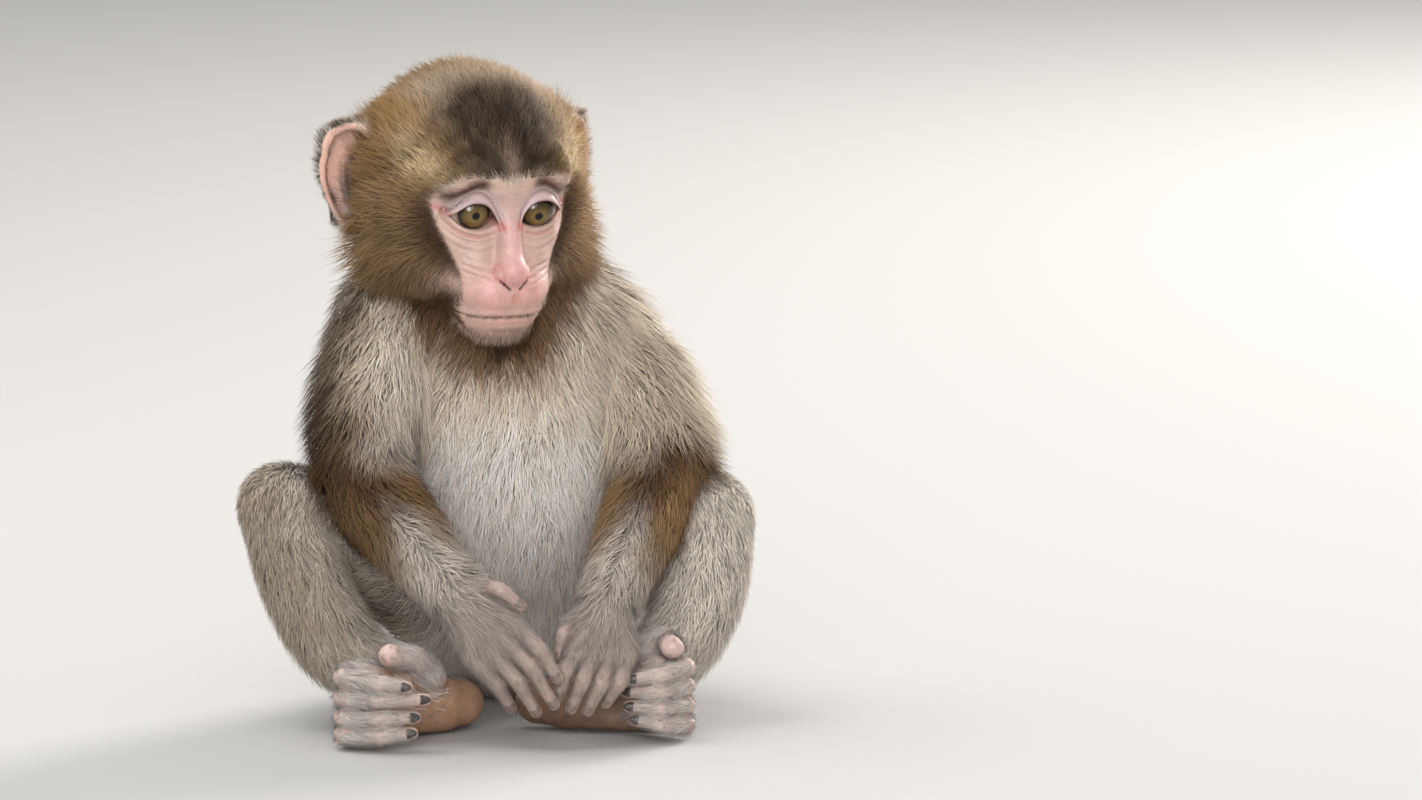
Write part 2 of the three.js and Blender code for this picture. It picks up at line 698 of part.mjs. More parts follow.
function placeFingers(side, pose) {
  const { knuckles, knuckleLine, fingers, thumb } = pose;
  const spacing = 2 * FINGER_RADIUS + 0.3;
  fingers.forEach(({ name, bend, tip }, i) => {
    const root = knuckles.clone().addScaledVector(knuckleLine, spacing * (1.5 - i));
    place(`finger_${name}_${side}`, 'bareSkin', root, (grow) => (
      digit([root, bend, tip], knuckleLine, FINGER_RADIUS, grow)));
  });
  place(`thumb_${side}`, 'bareSkin', thumb.base, (grow) => (
    digit([thumb.base, thumb.bend, thumb.tip], viewAcross, FINGER_RADIUS, grow)));
}

function placeLeg(side, pose) {
  const { hip, knee, calf, heel } = pose;
  const kneeCut = jointNormal(hip, knee, calf);
  place(`thigh_${side}`, 'leg', hip, (grow) => cutAt(thigh(pose, grow), knee, kneeCut, grow));
  place(`foot_${side}`, 'bareSkin', heel, (grow) => foot(pose, grow));
  place(`shank_${side}`, 'leg', knee, (grow) => (
    cutAt(shank(pose, grow), knee, kneeCut.clone().negate(), grow)));
}

function placeToes(side, pose) {
  const names = ['second', 'third', 'fourth', 'fifth'];
  pose.toeHeights.forEach((height, i) => {
    const root = pose.toeRoots.clone().setZ(height);
    const knuckle = pose.toeKnuckle.clone().setZ(height);
    const bend = pose.toeBend.clone().setZ(height);
    const tip = pose.toeTips[i].clone().setZ(height - 0.5);
    place(`toe_${names[i]}_${side}`, 'bareSkin', knuckle, (grow) => (
      digit([root, knuckle, bend, tip], straightUp, TOE_RADIUS, grow)));
  });
  const { base, bend, tip } = pose.bigToe;
  place(`toe_big_${side}`, 'bareSkin', base, (grow) => (
    digit([base, bend, tip], straightUp, BIG_TOE_RADIUS, grow)));
}

for (const [side, pose] of Object.entries(SIDES)) placeLeg(side, pose);
for (const [side, pose] of Object.entries(SIDES)) placeToes(side, pose);
for (const [side, pose] of Object.entries(SIDES)) placeArm(side, pose);
for (const [side, pose] of Object.entries(SIDES)) placeFingers(side, pose);

// ---------------------------------------------------------------- the whole animal

const macaque = new THREE.Group();
macaque.name = 'macaque';
placed.forEach((piece) => macaque.add(meshOf(piece)));

export default macaque;
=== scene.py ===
"""A young Japanese macaque, sitting with its knees drawn up and its hands resting between its feet.

Lengths here are millimetres, and MM turns them into metres where a mesh is made. Only materials count in
metres. The animal faces -Y, so its left side is on +X. The skin is one surface around a blend of simple
masses, and the coat is slim tufts on it.
"""

import json
import math

import bpy
import numpy as np
import openvdb
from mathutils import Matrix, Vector
from mathutils.bvhtree import BVHTree
from mathutils.kdtree import KDTree

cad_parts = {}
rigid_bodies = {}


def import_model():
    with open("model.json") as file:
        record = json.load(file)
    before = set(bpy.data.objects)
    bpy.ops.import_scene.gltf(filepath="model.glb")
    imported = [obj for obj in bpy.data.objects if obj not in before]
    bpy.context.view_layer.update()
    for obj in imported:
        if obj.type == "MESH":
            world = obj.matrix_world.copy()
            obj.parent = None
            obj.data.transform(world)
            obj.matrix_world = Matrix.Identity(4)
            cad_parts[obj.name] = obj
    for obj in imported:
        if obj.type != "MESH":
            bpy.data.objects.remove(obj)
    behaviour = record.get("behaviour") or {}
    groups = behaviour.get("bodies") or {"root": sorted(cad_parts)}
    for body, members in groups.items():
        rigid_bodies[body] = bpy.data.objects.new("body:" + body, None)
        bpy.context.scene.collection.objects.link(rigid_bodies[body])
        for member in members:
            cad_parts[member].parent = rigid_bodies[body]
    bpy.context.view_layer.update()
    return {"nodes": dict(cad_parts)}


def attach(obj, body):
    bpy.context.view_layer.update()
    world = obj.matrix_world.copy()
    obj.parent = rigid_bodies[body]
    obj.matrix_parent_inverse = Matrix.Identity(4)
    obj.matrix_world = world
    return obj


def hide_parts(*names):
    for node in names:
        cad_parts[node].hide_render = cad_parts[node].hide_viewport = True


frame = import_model()

MM = 0.001
BODY = "root"

# ---------------------------------------------------------------- the pose

BODY_TURN = 12  # degrees, towards the animal's left
HEAD_TURN = 23.5
HEAD_BOW = 15
HEAD_CENTRE = np.array([-6.8, -18.0, 221.0])

EYE_RADIUS = 9.0
EYE = np.array([13.5, 27.0, -7.0])  # head places run across, forward and up
LID_THICKNESS = 1.4
SOCKET_GAP = 0.12
SOCKET_BACK = 23

# Bare trunk from rump to neck: middle, half breadth, half depth.
TRUNK = [
    (4, 36, -4, 15, 12), (4, 35, 12, 34, 28), (4, 28, 42, 41, 36), (4, 13, 72, 42, 42), (4, 9, 102, 41, 41),
    (3, 10, 132, 41, 37), (2, 11, 156, 38, 33), (-1, 10, 176, 34, 29), (-4, 6, 192, 28, 26),
    (-6, 1, 206, 22, 22),
]
FLOOR_CLEARANCE = 0.8  # what the pressed coat leaves under the skin

SIDES = {
    "right": dict(
        sense=-1,
        shoulder=(-43, 4, 161), elbow=(-54, -36, 98), wrist=(-14.4, -79, 58.5),
        knuckles=(2, -86, 40), knuckle_line=(0.64, 0.16, 0.75),
        fingers=[((18, -92.5, 40), (25.5, -93, 28)), ((15, -93.5, 33), (24, -92, 17.5)),
                 ((9.5, -92.5, 27.5), (17, -89, 14)), ((1.5, -88, 25.5), (7, -84, 15))],
        thumb=((-6, -79, 63), (3.5, -85, 61.5), (11, -85, 55.5)),
        hip=(-24, 20, 44), knee=(-85, -34, 87), calf=(-76, -38, 58), shin=(-65, -41, 35),
        ankle=(-47, -47, 20), heel=(-14, -51, 11), instep=(-33, -66, 13.4), toe_roots=(-52, -84, 15.4),
        toe_heights=(28.6, 20.8, 13.0, 5.8), toe_knuckle=(-58, -93), toe_bend=(-44, -99.5),
        toe_tips=((-33, -98.5), (-26, -95.5), (-30, -96.5), (-31, -98)), toe_ends=(25.6, 20.2, 13.4, 7.4),
        big_toe=((-24, -68, 24), (-31, -77, 33), (-40, -84, 35.5)), sole=(0.64, -0.77, 0),
    ),
    "left": dict(
        sense=1,
        shoulder=(43, 19, 147), elbow=(66, -14, 98.5), wrist=(44, -61, 51.5),
        knuckles=(42.5, -77, 34), knuckle_line=(-0.98, -0.1, 0.12),
        fingers=[((28.5, -86.5, 29.5), (25.6, -86, 19.5)), ((35.5, -88, 26.5), (30.5, -87, 15)),
                 ((42.5, -87, 25), (37, -86, 14)), ((49.5, -84.5, 25), (44, -83, 16.5))],
        thumb=((34, -66, 45), (27.5, -73, 42), (25.5, -75, 33)),
        hip=(28, 38, 44), knee=(85, -11, 80), calf=(83, -24, 58), shin=(75, -35, 36), ankle=(60, -43, 20),
        heel=(17, -46, 11), instep=(42, -56, 13.4), toe_roots=(66, -65, 15.4),
        toe_heights=(28.8, 21.2, 13.6, 6), toe_knuckle=(75, -72), toe_bend=(66, -80),
        toe_tips=((54, -78.5), (52, -76), (53, -77), (55, -77)), toe_ends=(25.2, 19.8, 14.2, 9),
        big_toe=((49, -55, 29), (67, -61, 38), (70, -73, 37)), sole=(-0.36, -0.93, 0),
    ),
}
DIGITS = ("index", "middle", "ring", "little")
TOES = ("second", "third", "fourth", "fifth")
FINGER_SPACING = 6.9

# ---------------------------------------------------------------- small tools


def unit(v):
    v = np.asarray(v, float)
    return v / np.maximum(np.linalg.norm(v, axis=-1, keepdims=True), 1e-9)


def smooth_step(low, high, x):
    t = np.clip((x - low) / (high - low), 0, 1)
    return t * t * (3 - 2 * t)


def bell(x, width):
    return np.exp(-((x / width) ** 2))


def blend(a, b, width):
    """The lower of two distances, rounded where they are alike."""
    near = np.maximum(width - np.abs(a - b), 0) / width
    return np.minimum(a, b) - near * near * width / 4


def carve(a, b, width):
    """What is left of a outside b."""
    return -blend(-a, b, width)


def linear(hex_colour):
    """A colour written as six hex digits, as linear light."""
    parts = np.array([int(hex_colour[i : i + 2], 16) for i in (0, 2, 4)]) / 255
    return np.where(parts <= 0.04045, parts / 12.92, ((parts + 0.055) / 1.055) ** 2.4)


def mix(a, b, share):
    share = np.asarray(share)[..., None]
    return a + (b - a) * share


def waves(p, size, seed, count=9):
    """A smooth random value between about -1 and 1 at each place, changing over about that size."""
    random = np.random.default_rng(seed)
    ways = unit(random.normal(size=(count, 3))) * random.uniform(0.6, 1.6, (count, 1)) * 2 * math.pi / size
    return np.sin(p @ ways.T + random.uniform(0, 2 * math.pi, count)).sum(1) * math.sqrt(2 / count) / 1.6


def smooth_curve(stations, steps):
    """More stations along a centripetal Catmull-Rom curve. What follows x, y and z in a row rides along."""
    rows = np.array(stations, float)
    rows = np.vstack([2 * rows[0] - rows[1], rows, 2 * rows[-1] - rows[-2]])
    gaps = np.sqrt(np.linalg.norm(np.diff(rows[:, :3], axis=0), axis=1))[:, None]
    slopes = np.diff(rows, axis=0) / gaps
    wide_slopes = (rows[2:] - rows[:-2]) / (gaps[1:] + gaps[:-1])
    tangents = slopes[:-1] - wide_slopes + slopes[1:]
    made = []
    for i in range(1, len(rows) - 2):
        start, end = tangents[i - 1] * gaps[i], tangents[i] * gaps[i]
        for t in np.arange(steps) / steps:
            made.append(
                rows[i] * (2 * t**3 - 3 * t**2 + 1) + rows[i + 1] * (3 * t**2 - 2 * t**3)
                + start * (t**3 - 2 * t**2 + t) + end * (t**3 - t**2)
            )
    return np.array(made + [rows[-2]])


def halfway(a, b, share=0.5):
    return np.asarray(a, float) * (1 - share) + np.asarray(b, float) * share


# ---------------------------------------------------------------- head places

turn, bow = math.radians(HEAD_TURN), math.radians(HEAD_BOW)
HEAD_AXES = np.array([
    [math.cos(turn), math.sin(turn), 0],
    [math.sin(turn) * math.cos(bow), -math.cos(turn) * math.cos(bow), -math.sin(bow)],
    [math.sin(turn) * math.sin(bow), -math.cos(turn) * math.sin(bow), math.cos(bow)],
])
FRONT = np.array([math.sin(math.radians(BODY_TURN)), -math.cos(math.radians(BODY_TURN)), 0])
ACROSS = np.array([math.cos(math.radians(BODY_TURN)), math.sin(math.radians(BODY_TURN)), 0])
DOWN = np.array([0, 0, -1.0])


def to_head(p):
    return (p - HEAD_CENTRE) @ HEAD_AXES.T


def from_head(q):
    return HEAD_CENTRE + np.asarray(q, float) @ HEAD_AXES


# Outline of the bare face: half breadth at each height from chin to brow, and height of the brow across it.
FACE_UPS = (-62, -58.5, -53.5, -47, -37, -31, -24, -14, -6, -2, 2, 5, 8)
FACE_HALVES = (0, 8.5, 14.5, 18.2, 18.6, 18.6, 21.5, 26.5, 28.5, 28, 26, 23, 18)
BROW_SIDES = (0, 4, 9.5, 18, 24, 28, 32)
BROW_UPS = (5.0, 6.3, 9.2, 8.2, 3.8, -2.2, -9)


def outside_face(q):
    """Millimetres from the bare face's edge, below zero on the face."""
    side, forward, up = np.abs(q[:, 0]), q[:, 1], q[:, 2]
    sideways = (side - np.interp(up, FACE_UPS, FACE_HALVES, left=-20, right=0)) * 0.85
    upwards = up - np.interp(side, BROW_SIDES, BROW_UPS)
    return np.maximum(np.maximum(sideways, upwards), np.maximum(12 - forward, -62 - up))


# ---------------------------------------------------------------- the bare shape


class Tube:
    """A limb or digit: round sections along a smooth curve. A station is x, y, z, radius, blend width."""

    def __init__(self, part, stations, steps=3):
        self.part = part
        self.steps = steps
        self.rows = smooth_curve(stations, steps)
        reach = (self.rows[:, 3] + self.rows[:, 4] + 6)[:, None]
        self.low = (self.rows[:, :3] - reach).min(0)
        self.high = (self.rows[:, :3] + reach).max(0)

    def measure(self, p):
        """Distance to the surface, and the place along the curve counted in stations."""
        starts, along = self.rows[:-1, :3], np.diff(self.rows[:, :3], axis=0)
        lengths = (along**2).sum(1)
        run = p @ along.T - (starts * along).sum(1)
        t = np.clip(run / lengths, 0, 1)
        from_start = (p**2).sum(1)[:, None] - 2 * p @ starts.T + (starts**2).sum(1)
        square = from_start + t * (t * lengths - 2 * run)
        gaps = np.sqrt(np.maximum(square, 0)) - (self.rows[:-1, 3] + t * np.diff(self.rows[:, 3]))
        nearest = gaps.argmin(1)
        pick = np.arange(len(p)), nearest
        return gaps[pick], (nearest + t[pick]) / self.steps

    def column(self, place, index):
        return np.interp(place * self.steps, np.arange(len(self.rows)), self.rows[:, index])

    def distance(self, p):
        best, place = self.measure(p)
        return best, self.column(place, 4)

    def middle(self, place):
        return np.stack([self.column(place, i) for i in range(3)], axis=1)

    def tangent(self, place):
        ahead = np.minimum(place + 0.15, (len(self.rows) - 1) / self.steps)
        return unit(self.middle(ahead) - self.middle(ahead - 0.3))


BODY_BLEND = 12.0  # how widely trunk and head blend with their neighbours
TRUNK_TOP = 210


class Trunk:
    """Oval sections stacked from rump to neck."""

    part = "trunk"
    low = np.array([-60.0, -60, -20])
    high = np.array([70.0, 95, 232])

    def __init__(self):
        self.rows = smooth_curve(TRUNK, 4)

    def section(self, z):
        return [np.interp(z, self.rows[:, 2], self.rows[:, i]) for i in (0, 1, 3, 4)]

    def distance(self, p):
        x, y, wide, deep = self.section(p[:, 2])
        across = (p[:, 0] - x) * ACROSS[0] + (p[:, 1] - y) * ACROSS[1]
        forward = (p[:, 0] - x) * FRONT[0] + (p[:, 1] - y) * FRONT[1]
        scaled = np.hypot(across / wide, forward / deep)
        steep = np.hypot(across / wide**2, forward / deep**2)
        ring = scaled * (scaled - 1) / np.maximum(steep, 1e-6)
        return np.maximum(ring, p[:, 2] - TRUNK_TOP), np.full(len(p), BODY_BLEND)


def ball_distance(q, at, size):
    offset = q - np.array(at, float)
    size = np.array(size, float)
    scaled = np.linalg.norm(offset / size, axis=1)
    steep = np.linalg.norm(offset / size**2, axis=1)
    return scaled * (scaled - 1) / np.maximum(steep, 1e-6)


def bar_distance(q, start, end, start_radius, end_radius):
    start = np.array(start, float)
    along = np.array(end, float) - start
    t = np.clip((q - start) @ along / (along @ along), 0, 1)
    gap = np.linalg.norm(q - start - t[:, None] * along, axis=1)
    return gap - (start_radius + t * (end_radius - start_radius))


def path_distance(q, points, radius):
    return np.min([bar_distance(q, a, b, radius, radius) for a, b in zip(points[:-1], points[1:])], axis=0)


OUT_OF_REACH = 60.0  # from which the head's distance is blended down
HEAD_BLEND = 9
HEAD_BALLS = [  # place, size
    ((0, -6, 2.5), (31, 41, 28)),  # skull
    ((0, 2, -30), (25, 24, 19)),  # throat
    ((0, 31.5, -37.5), (20.2, 17.8, 13)),  # muzzle
    ((0, 32.5, -50), (12.5, 10.5, 9.5)),  # chin
]
HEAD_BARS = [  # from, to, radii: those off the middle come in pairs
    ((0, 30.5, 5), (19, 26.5, 7), 5.5, 5.5),  # brow
    ((19, 26.5, 7), (28, 16, 0), 5.5, 5),
    ((17, 26, -18), (28, 12, -11), 8, 7),  # cheekbone
    ((23, -2, -30), (5, 30, -47), 9.5, 9.5),  # jaw
    ((23, 3, -17), (15.5, 22, -31), 9.5, 9),  # cheek
    ((7, 29.5, -14), (10.5, 32, -26), 5.5, 5.5),  # beside the nose
]
NOSE_BRIDGE = ((0, 31.5, -4), (0, 42.5, -24), 4.2, 4.6)
NOSE_TIP = ((0, 45.6, -27.4), (5.3, 5.4, 6.0))
NOSE_WING = ((4.7, 43.4, -28.9), (2.7, 4.4, 3.4))
NOSTRIL = ((5.6, 46.2, -30.9), (3.9, 47.6, -32.3), (2.0, 48.2, -33.9))
NOSTRIL_RADIUS = 0.42
NOSTRIL_INSIDE = ((3.8, 46.4, -32.4), (3.5, 42.0, -31.2))
NOSTRIL_WIDTH = 0.6
LOWER_LIP = ((-11, 37.5, -48.2), (-6, 41.6, -49.0), (0, 42.8, -49.3), (6, 41.6, -49.0), (11, 37.5, -48.2))
LIP_RADIUS = 2.3
MOUTH_HALF = 18

# The opening of the eyes, outwards from its middle and up, turned so that the inner corner is lower.
OPENING = dict(across=14.1, up=-9.6, half=9.2, top=7.3, bottom=3.8, tilt=6)


def mouth_line(side):
    """Height of the line between the lips."""
    return -46.4 - 0.006 * side**2


def opening_places(side, up):
    """Places in an eye's opening: outwards along its length, and up across it."""
    tilt = math.radians(OPENING["tilt"])
    out, rise = side - OPENING["across"], up - OPENING["up"]
    return out * math.cos(tilt) + rise * math.sin(tilt), rise * math.cos(tilt) - out * math.sin(tilt)


def opening_distance(side, up):
    """Rough distance to the edge of an eye's opening, below zero within it."""
    along, rise = opening_places(side, up)
    share = np.abs(along) / OPENING["half"]
    tall = np.where(rise > 0, OPENING["top"], OPENING["bottom"])
    edge = tall * (1 - np.minimum(share, 1.3) ** 2.3)
    return (np.abs(rise) - edge) * 0.8


def lid_crease(along):
    """How far up the fold of the upper lid runs over the eye."""
    return 11.3 - 13 * (along / 11.5) ** 2


# Folds and swellings of the face: how far each lifts the skin, its place over a line, and half its breadth.
UPPER_LID_FOLDS = ((-0.8, 0, 0.6), (-0.3, 2.1, 0.5), (0.35, -2.4, 1.6))
UNDER_EYE_FOLDS = (
    (0.5, -1.0, 0.8), (-0.55, -2.5, 0.5), (0.35, -3.6, 0.9),
    (-0.4, -4.8, 0.5), (0.35, -6.4, 1.2), (-0.25, -8.2, 0.7),
)
CHEEK_FOLDS = ((-25.4, 0.25), (-28.4, 0.65), (-30.9, 0.65), (-33.2, 0.3))  # height and depth
BROW_FOLDS = (-1.0, 1.2, 3.4)  # heights


def face_relief(q):
    """How far folds and swellings lift the skin of the face, along it from the front."""
    side, forward, up = np.abs(q[:, 0]), q[:, 1], q[:, 2]
    along, rise = opening_places(side, up)
    lids = smooth_step(14, 10, np.abs(along))
    below = smooth_step(13, 8, along) * smooth_step(-9.5, -5.5, along)
    lift = np.zeros(len(q))
    rim = -OPENING["bottom"] * (1 - np.minimum(np.abs(along) / 11.5, 1) ** 2.1)
    for folds, line, share in ((UPPER_LID_FOLDS, lid_crease(along), lids), (UNDER_EYE_FOLDS, rim, below)):
        for amount, place, half in folds:
            lift += amount * bell(rise - line - place, half) * share
    beside_nose = smooth_step(5, 8, side) * smooth_step(20, 15, side)
    for height, depth in CHEEK_FOLDS:
        line = height + 0.10 * (side - 6) + 0.25 * waves(q, 9, 31)
        lift -= depth * bell(up - line, 0.42) * beside_nose
    between_eyes = smooth_step(6, 3, side)
    for height in BROW_FOLDS:
        lift -= 0.14 * bell(up - height - 0.03 * side**2, 0.4) * between_eyes
    over_mouth = up - mouth_line(side)
    in_mouth = smooth_step(MOUTH_HALF + 1.5, MOUTH_HALF - 2, side)
    lift -= 1.1 * bell(over_mouth, 0.5) * in_mouth  # the line between the lips
    lift += 0.5 * bell(over_mouth - 1.8, 1.3) * in_mouth  # upper lip
    lift += 0.35 * bell(over_mouth + 1.9, 1.2) * smooth_step(14, 9, side)  # lower lip
    under_nose = smooth_step(-44, -41, up) * smooth_step(-34, -37, up)
    lift -= 0.5 * bell(side, 0.9) * under_nose  # groove from nose to lip
    lift -= 0.5 * bell(up + 54, 1.6) * smooth_step(10, 4, side)  # fold over the chin
    return lift * smooth_step(10, 20, forward)


class Head:
    part = "head"
    low = HEAD_CENTRE - 66
    high = HEAD_CENTRE + 62

    def distance(self, p, fine=True):
        q = to_head(p)
        paired = q.copy()
        paired[:, 0] = np.abs(q[:, 0])
        d = np.full(len(q), OUT_OF_REACH)
        for at, size in HEAD_BALLS:
            d = blend(d, ball_distance(q, at, size), HEAD_BLEND)
        for start, end, start_radius, end_radius in HEAD_BARS:
            place = paired if start[0] or end[0] else q
            d = blend(d, bar_distance(place, start, end, start_radius, end_radius), HEAD_BLEND)
        d = blend(d, bar_distance(q, *NOSE_BRIDGE), 5)
        d = blend(d, ball_distance(q, *NOSE_TIP), 2)
        d = blend(d, ball_distance(paired, *NOSE_WING), 0.7)
        d = blend(d, path_distance(q, LOWER_LIP, LIP_RADIUS), 3)
        eye = np.linalg.norm(paired - EYE, axis=1) - EYE_RADIUS
        d = blend(d, eye - LID_THICKNESS, 2.2)
        folded = (q[:, 1] > 10) & (np.abs(q[:, 0]) < 30) & (np.abs(d) < 4)
        if fine and folded.any():
            d[folded] -= face_relief(q[folded])
        d = carve(d, path_distance(paired, NOSTRIL, NOSTRIL_RADIUS), 0.5)
        d = carve(d, path_distance(paired, NOSTRIL_INSIDE, NOSTRIL_WIDTH), 0.5)
        opening = np.maximum(opening_distance(paired[:, 0], q[:, 2]), EYE[1] - q[:, 1])
        socket = np.maximum(eye - SOCKET_GAP, SOCKET_BACK - q[:, 1])
        d = carve(d, opening, 0.7)
        return np.maximum(d, -socket), np.full(len(p), BODY_BLEND)


EAR = dict(wide=15.5, thick=8.4, tall=21.0, across=45.5, forward=-15, up=-8, turn=48, lean=9)
EAR_WALL = 1.7
EAR_OPEN = 1.0  # how far forward of its middle the cup is open
EAR_FOLD = ((3, -5.2, -14), (7.5, -5.6, -6), (8.5, -5.2, 2), (5.5, -5.6, 9), (0, -4.6, 14.5))
EAR_KNOB = ((-9.5, -1.5, -7), (2.6, 3.4, 4.5))  # before the ear's hole: place and size
EAR_REACH = 34  # more than any part of an ear lies from its middle


class Ear:
    """A thin cup, open forwards and outwards, with a rolled rim and an inner fold."""

    def __init__(self, side, sense):
        self.part = f"ear_{side}"
        self.middle = from_head((sense * EAR["across"], EAR["forward"], EAR["up"]))
        turned, lean = math.radians(EAR["turn"] * sense), math.radians(-EAR["lean"] * sense)
        wide = (math.cos(turned) * math.cos(lean), -math.sin(turned), -math.cos(turned) * math.sin(lean))
        outward = (math.sin(turned) * math.cos(lean), math.cos(turned), -math.sin(turned) * math.sin(lean))
        upward = (math.sin(lean), 0, math.cos(lean))
        self.axes = np.array([wide, outward, upward]) * np.array([[sense], [1], [1]]) @ HEAD_AXES
        around = np.radians(np.arange(-120, 181, 20))
        self.rim = np.stack([
            (EAR["wide"] - 1.2) * np.cos(around), EAR_OPEN + 0.4 * np.cos(3 * around),
            (EAR["tall"] - 1.2) * np.sin(around),
        ], axis=1)
        middle = to_head(self.middle[None])[0]
        self.root = (middle * np.array([0.62, 1, 1]), (sense * 39.5, EAR["forward"] - 2, EAR["up"]))
        self.low = self.middle - EAR_REACH
        self.high = self.middle + EAR_REACH

    def places(self, p):
        """Ear places: away from the head along the cup's breadth, out of its opening, and up."""
        r = (p - self.middle) @ self.axes.T
        high = r[:, 2] / EAR["tall"]
        reach = r[:, 0] / EAR["wide"]
        corner = smooth_step(0.1, 0.75, high) * smooth_step(-0.1, 0.6, reach)  # upper outer corner, drawn out
        inside = smooth_step(0.3, 0.9, high) * smooth_step(0.3, -0.4, reach)  # upper inner corner, drawn in
        breadth = np.clip(1.04 - 0.3 * (high - 0.2) ** 2 + 0.05 * high, 0.6, 1.1)
        r[:, 0] /= breadth * (1 + 0.26 * corner)
        r[:, 2] /= 1 + 0.05 * corner - 0.12 * inside
        return r

    def distance(self, p):
        r = self.places(p)
        ball = ball_distance(r, (0, 0, 0), (EAR["wide"], EAR["thick"], EAR["tall"]))
        shell = np.abs(ball + EAR_WALL / 2) - EAR_WALL / 2
        cup = carve(shell, EAR_OPEN - r[:, 1], 0.6)
        cup = blend(cup, path_distance(r, self.rim, 1.35), 0.9)
        cup = blend(cup, path_distance(r, EAR_FOLD, 1.1), 2)
        cup = blend(cup, ball_distance(r, *EAR_KNOB), 2.5)
        root = bar_distance(to_head(p), *self.root, 8, 6)
        return blend(cup, np.maximum(root, r[:, 1] + 5.5), 2), np.full(len(p), 3.0)


def palm_tubes(side, pose):
    wrist, knuckles, line = (np.array(pose[name], float) for name in ("wrist", "knuckles", "knuckle_line"))
    tubes = []
    for i in range(len(DIGITS)):
        start, root = wrist + line * 2.9 * (1.5 - i), knuckles + line * FINGER_SPACING * (1.5 - i)
        stations = [(*start, 4.4, 4), (*halfway(start, root, 0.6), 3.8, 3), (*root, 3.45, 1.6)]
        tubes.append(Tube(f"hand_{side}", stations))
    base = pose["thumb"][0]
    stations = [(*wrist, 5, 3), (*halfway(wrist, base, 0.7), 4.4, 2.5), (*base, 3.6, 1.5)]
    tubes.append(Tube(f"hand_{side}", stations))
    return tubes


def digit(part, points, radii, widths):
    """A finger or toe, swollen at its joints and slimmer between them."""
    stations = []
    for i, (a, b) in enumerate(zip(points[:-1], points[1:])):
        between = (radii[i] + radii[i + 1]) / 2 * 0.87
        stations += [(*a, radii[i], widths[0] if i == 0 else widths[1]), (*halfway(a, b), between, widths[1])]
    return Tube(part, stations + [(*points[-1], radii[-1], widths[1])], steps=2)


def finger_points(pose, i):
    root = np.array(pose["knuckles"], float) + np.array(pose["knuckle_line"]) * FINGER_SPACING * (1.5 - i)
    return [tuple(root), *pose["fingers"][i]]


def toe_points(pose, i):
    height = pose["toe_heights"][i]
    return [
        (*pose["toe_roots"][:2], height), (*pose["toe_knuckle"], height),
        (*pose["toe_bend"], (height + pose["toe_ends"][i]) / 2), (*pose["toe_tips"][i], pose["toe_ends"][i]),
    ]


def foot_tubes(side, pose):
    part = f"foot_{side}"
    heel, instep, roots, ankle = (np.array(pose[n], float) for n in ("heel", "instep", "toe_roots", "ankle"))
    sole = unit(pose["sole"])
    tubes = [
        Tube(part, [(*heel, 9.3, 4), (*halfway(heel, instep, 0.35), 8.4, 4)]),
        Tube(part, [(*ankle, 8.2, 4), (*halfway(heel, instep, 0.55), 8.4, 4)]),
    ]
    for height in pose["toe_heights"]:
        low = halfway(heel, instep, 0.4) * (1, 1, 0) + (0, 0, 11.5 + (height - 17) * 0.3)
        middle = instep * (1, 1, 0) + (0, 0, 13.4 + (height - 17) * 0.6)
        tubes.append(Tube(part, [(*low, 7.2, 4), (*middle, 5.6, 3), (*roots[:2], height, 3.9, 1.8)]))
    for share, height, radius in ((0.95, 22, 4.6), (0.95, 11, 4.8), (0.15, 24, 5.0)):
        pad = halfway(instep, roots, share) * (1, 1, 0) + (0, 0, height) + sole * 4.2
        tubes.append(Tube(part, [(*pad, radius, 3), (*(pad + (0, 0, 1.5)), radius, 3)], steps=1))
    return tubes


def side_masses(side, pose):
    shoulder, elbow, wrist = pose["shoulder"], pose["elbow"], pose["wrist"]
    hip, knee, calf, shin, ankle = (pose[n] for n in ("hip", "knee", "calf", "shin", "ankle"))
    masses = [
        Tube(f"upper_arm_{side}", [(*shoulder, 14, 9), (*halfway(shoulder, elbow, 0.4), 14, 8),
                                   (*halfway(shoulder, elbow, 0.75), 13, 4), (*elbow, 12.3, 2.5)]),
        Tube(f"forearm_{side}", [(*elbow, 12.3, 2.5), (*halfway(elbow, wrist, 0.35), 11.8, 2),
                                 (*halfway(elbow, wrist, 0.75), 8.8, 2), (*wrist, 6.6, 3)]),
        Tube(f"thigh_{side}", [(*hip, 20, 10), (*halfway(hip, knee), 18.5, 6), (*knee, 14, 3)]),
        Tube(f"shank_{side}", [(*knee, 14, 3), (*calf, 13.8, 2.5), (*shin, 11.5, 2.5), (*ankle, 8.6, 4)]),
    ]
    masses += foot_tubes(side, pose) + palm_tubes(side, pose)
    for i, name in enumerate(DIGITS):
        masses.append(digit(f"finger_{name}_{side}", finger_points(pose, i), (3.4, 3.25, 2.4), (1.6, 0.4)))
    masses.append(digit(f"thumb_{side}", pose["thumb"], (3.7, 3.2, 2.45), (1.8, 0.4)))
    for i, name in enumerate(TOES):
        masses.append(digit(f"toe_{name}_{side}", toe_points(pose, i), (3.6, 4.05, 3.3, 2.4), (1.8, 0.5)))
    masses.append(digit(f"toe_big_{side}", pose["big_toe"], (5.4, 5.2, 4.7), (3, 0.5)))
    return masses


TAIL = [(6, 60, 17, 6, 6), (8, 80, 9, 5.2, 3), (10, 95, 6, 3.6, 2)]

head, trunk = Head(), Trunk()
EARS = [Ear("left", 1), Ear("right", -1)]
MASSES = [trunk, head, *EARS, Tube("tail", TAIL)]
for side_name, side_pose in SIDES.items():
    MASSES += side_masses(side_name, side_pose)


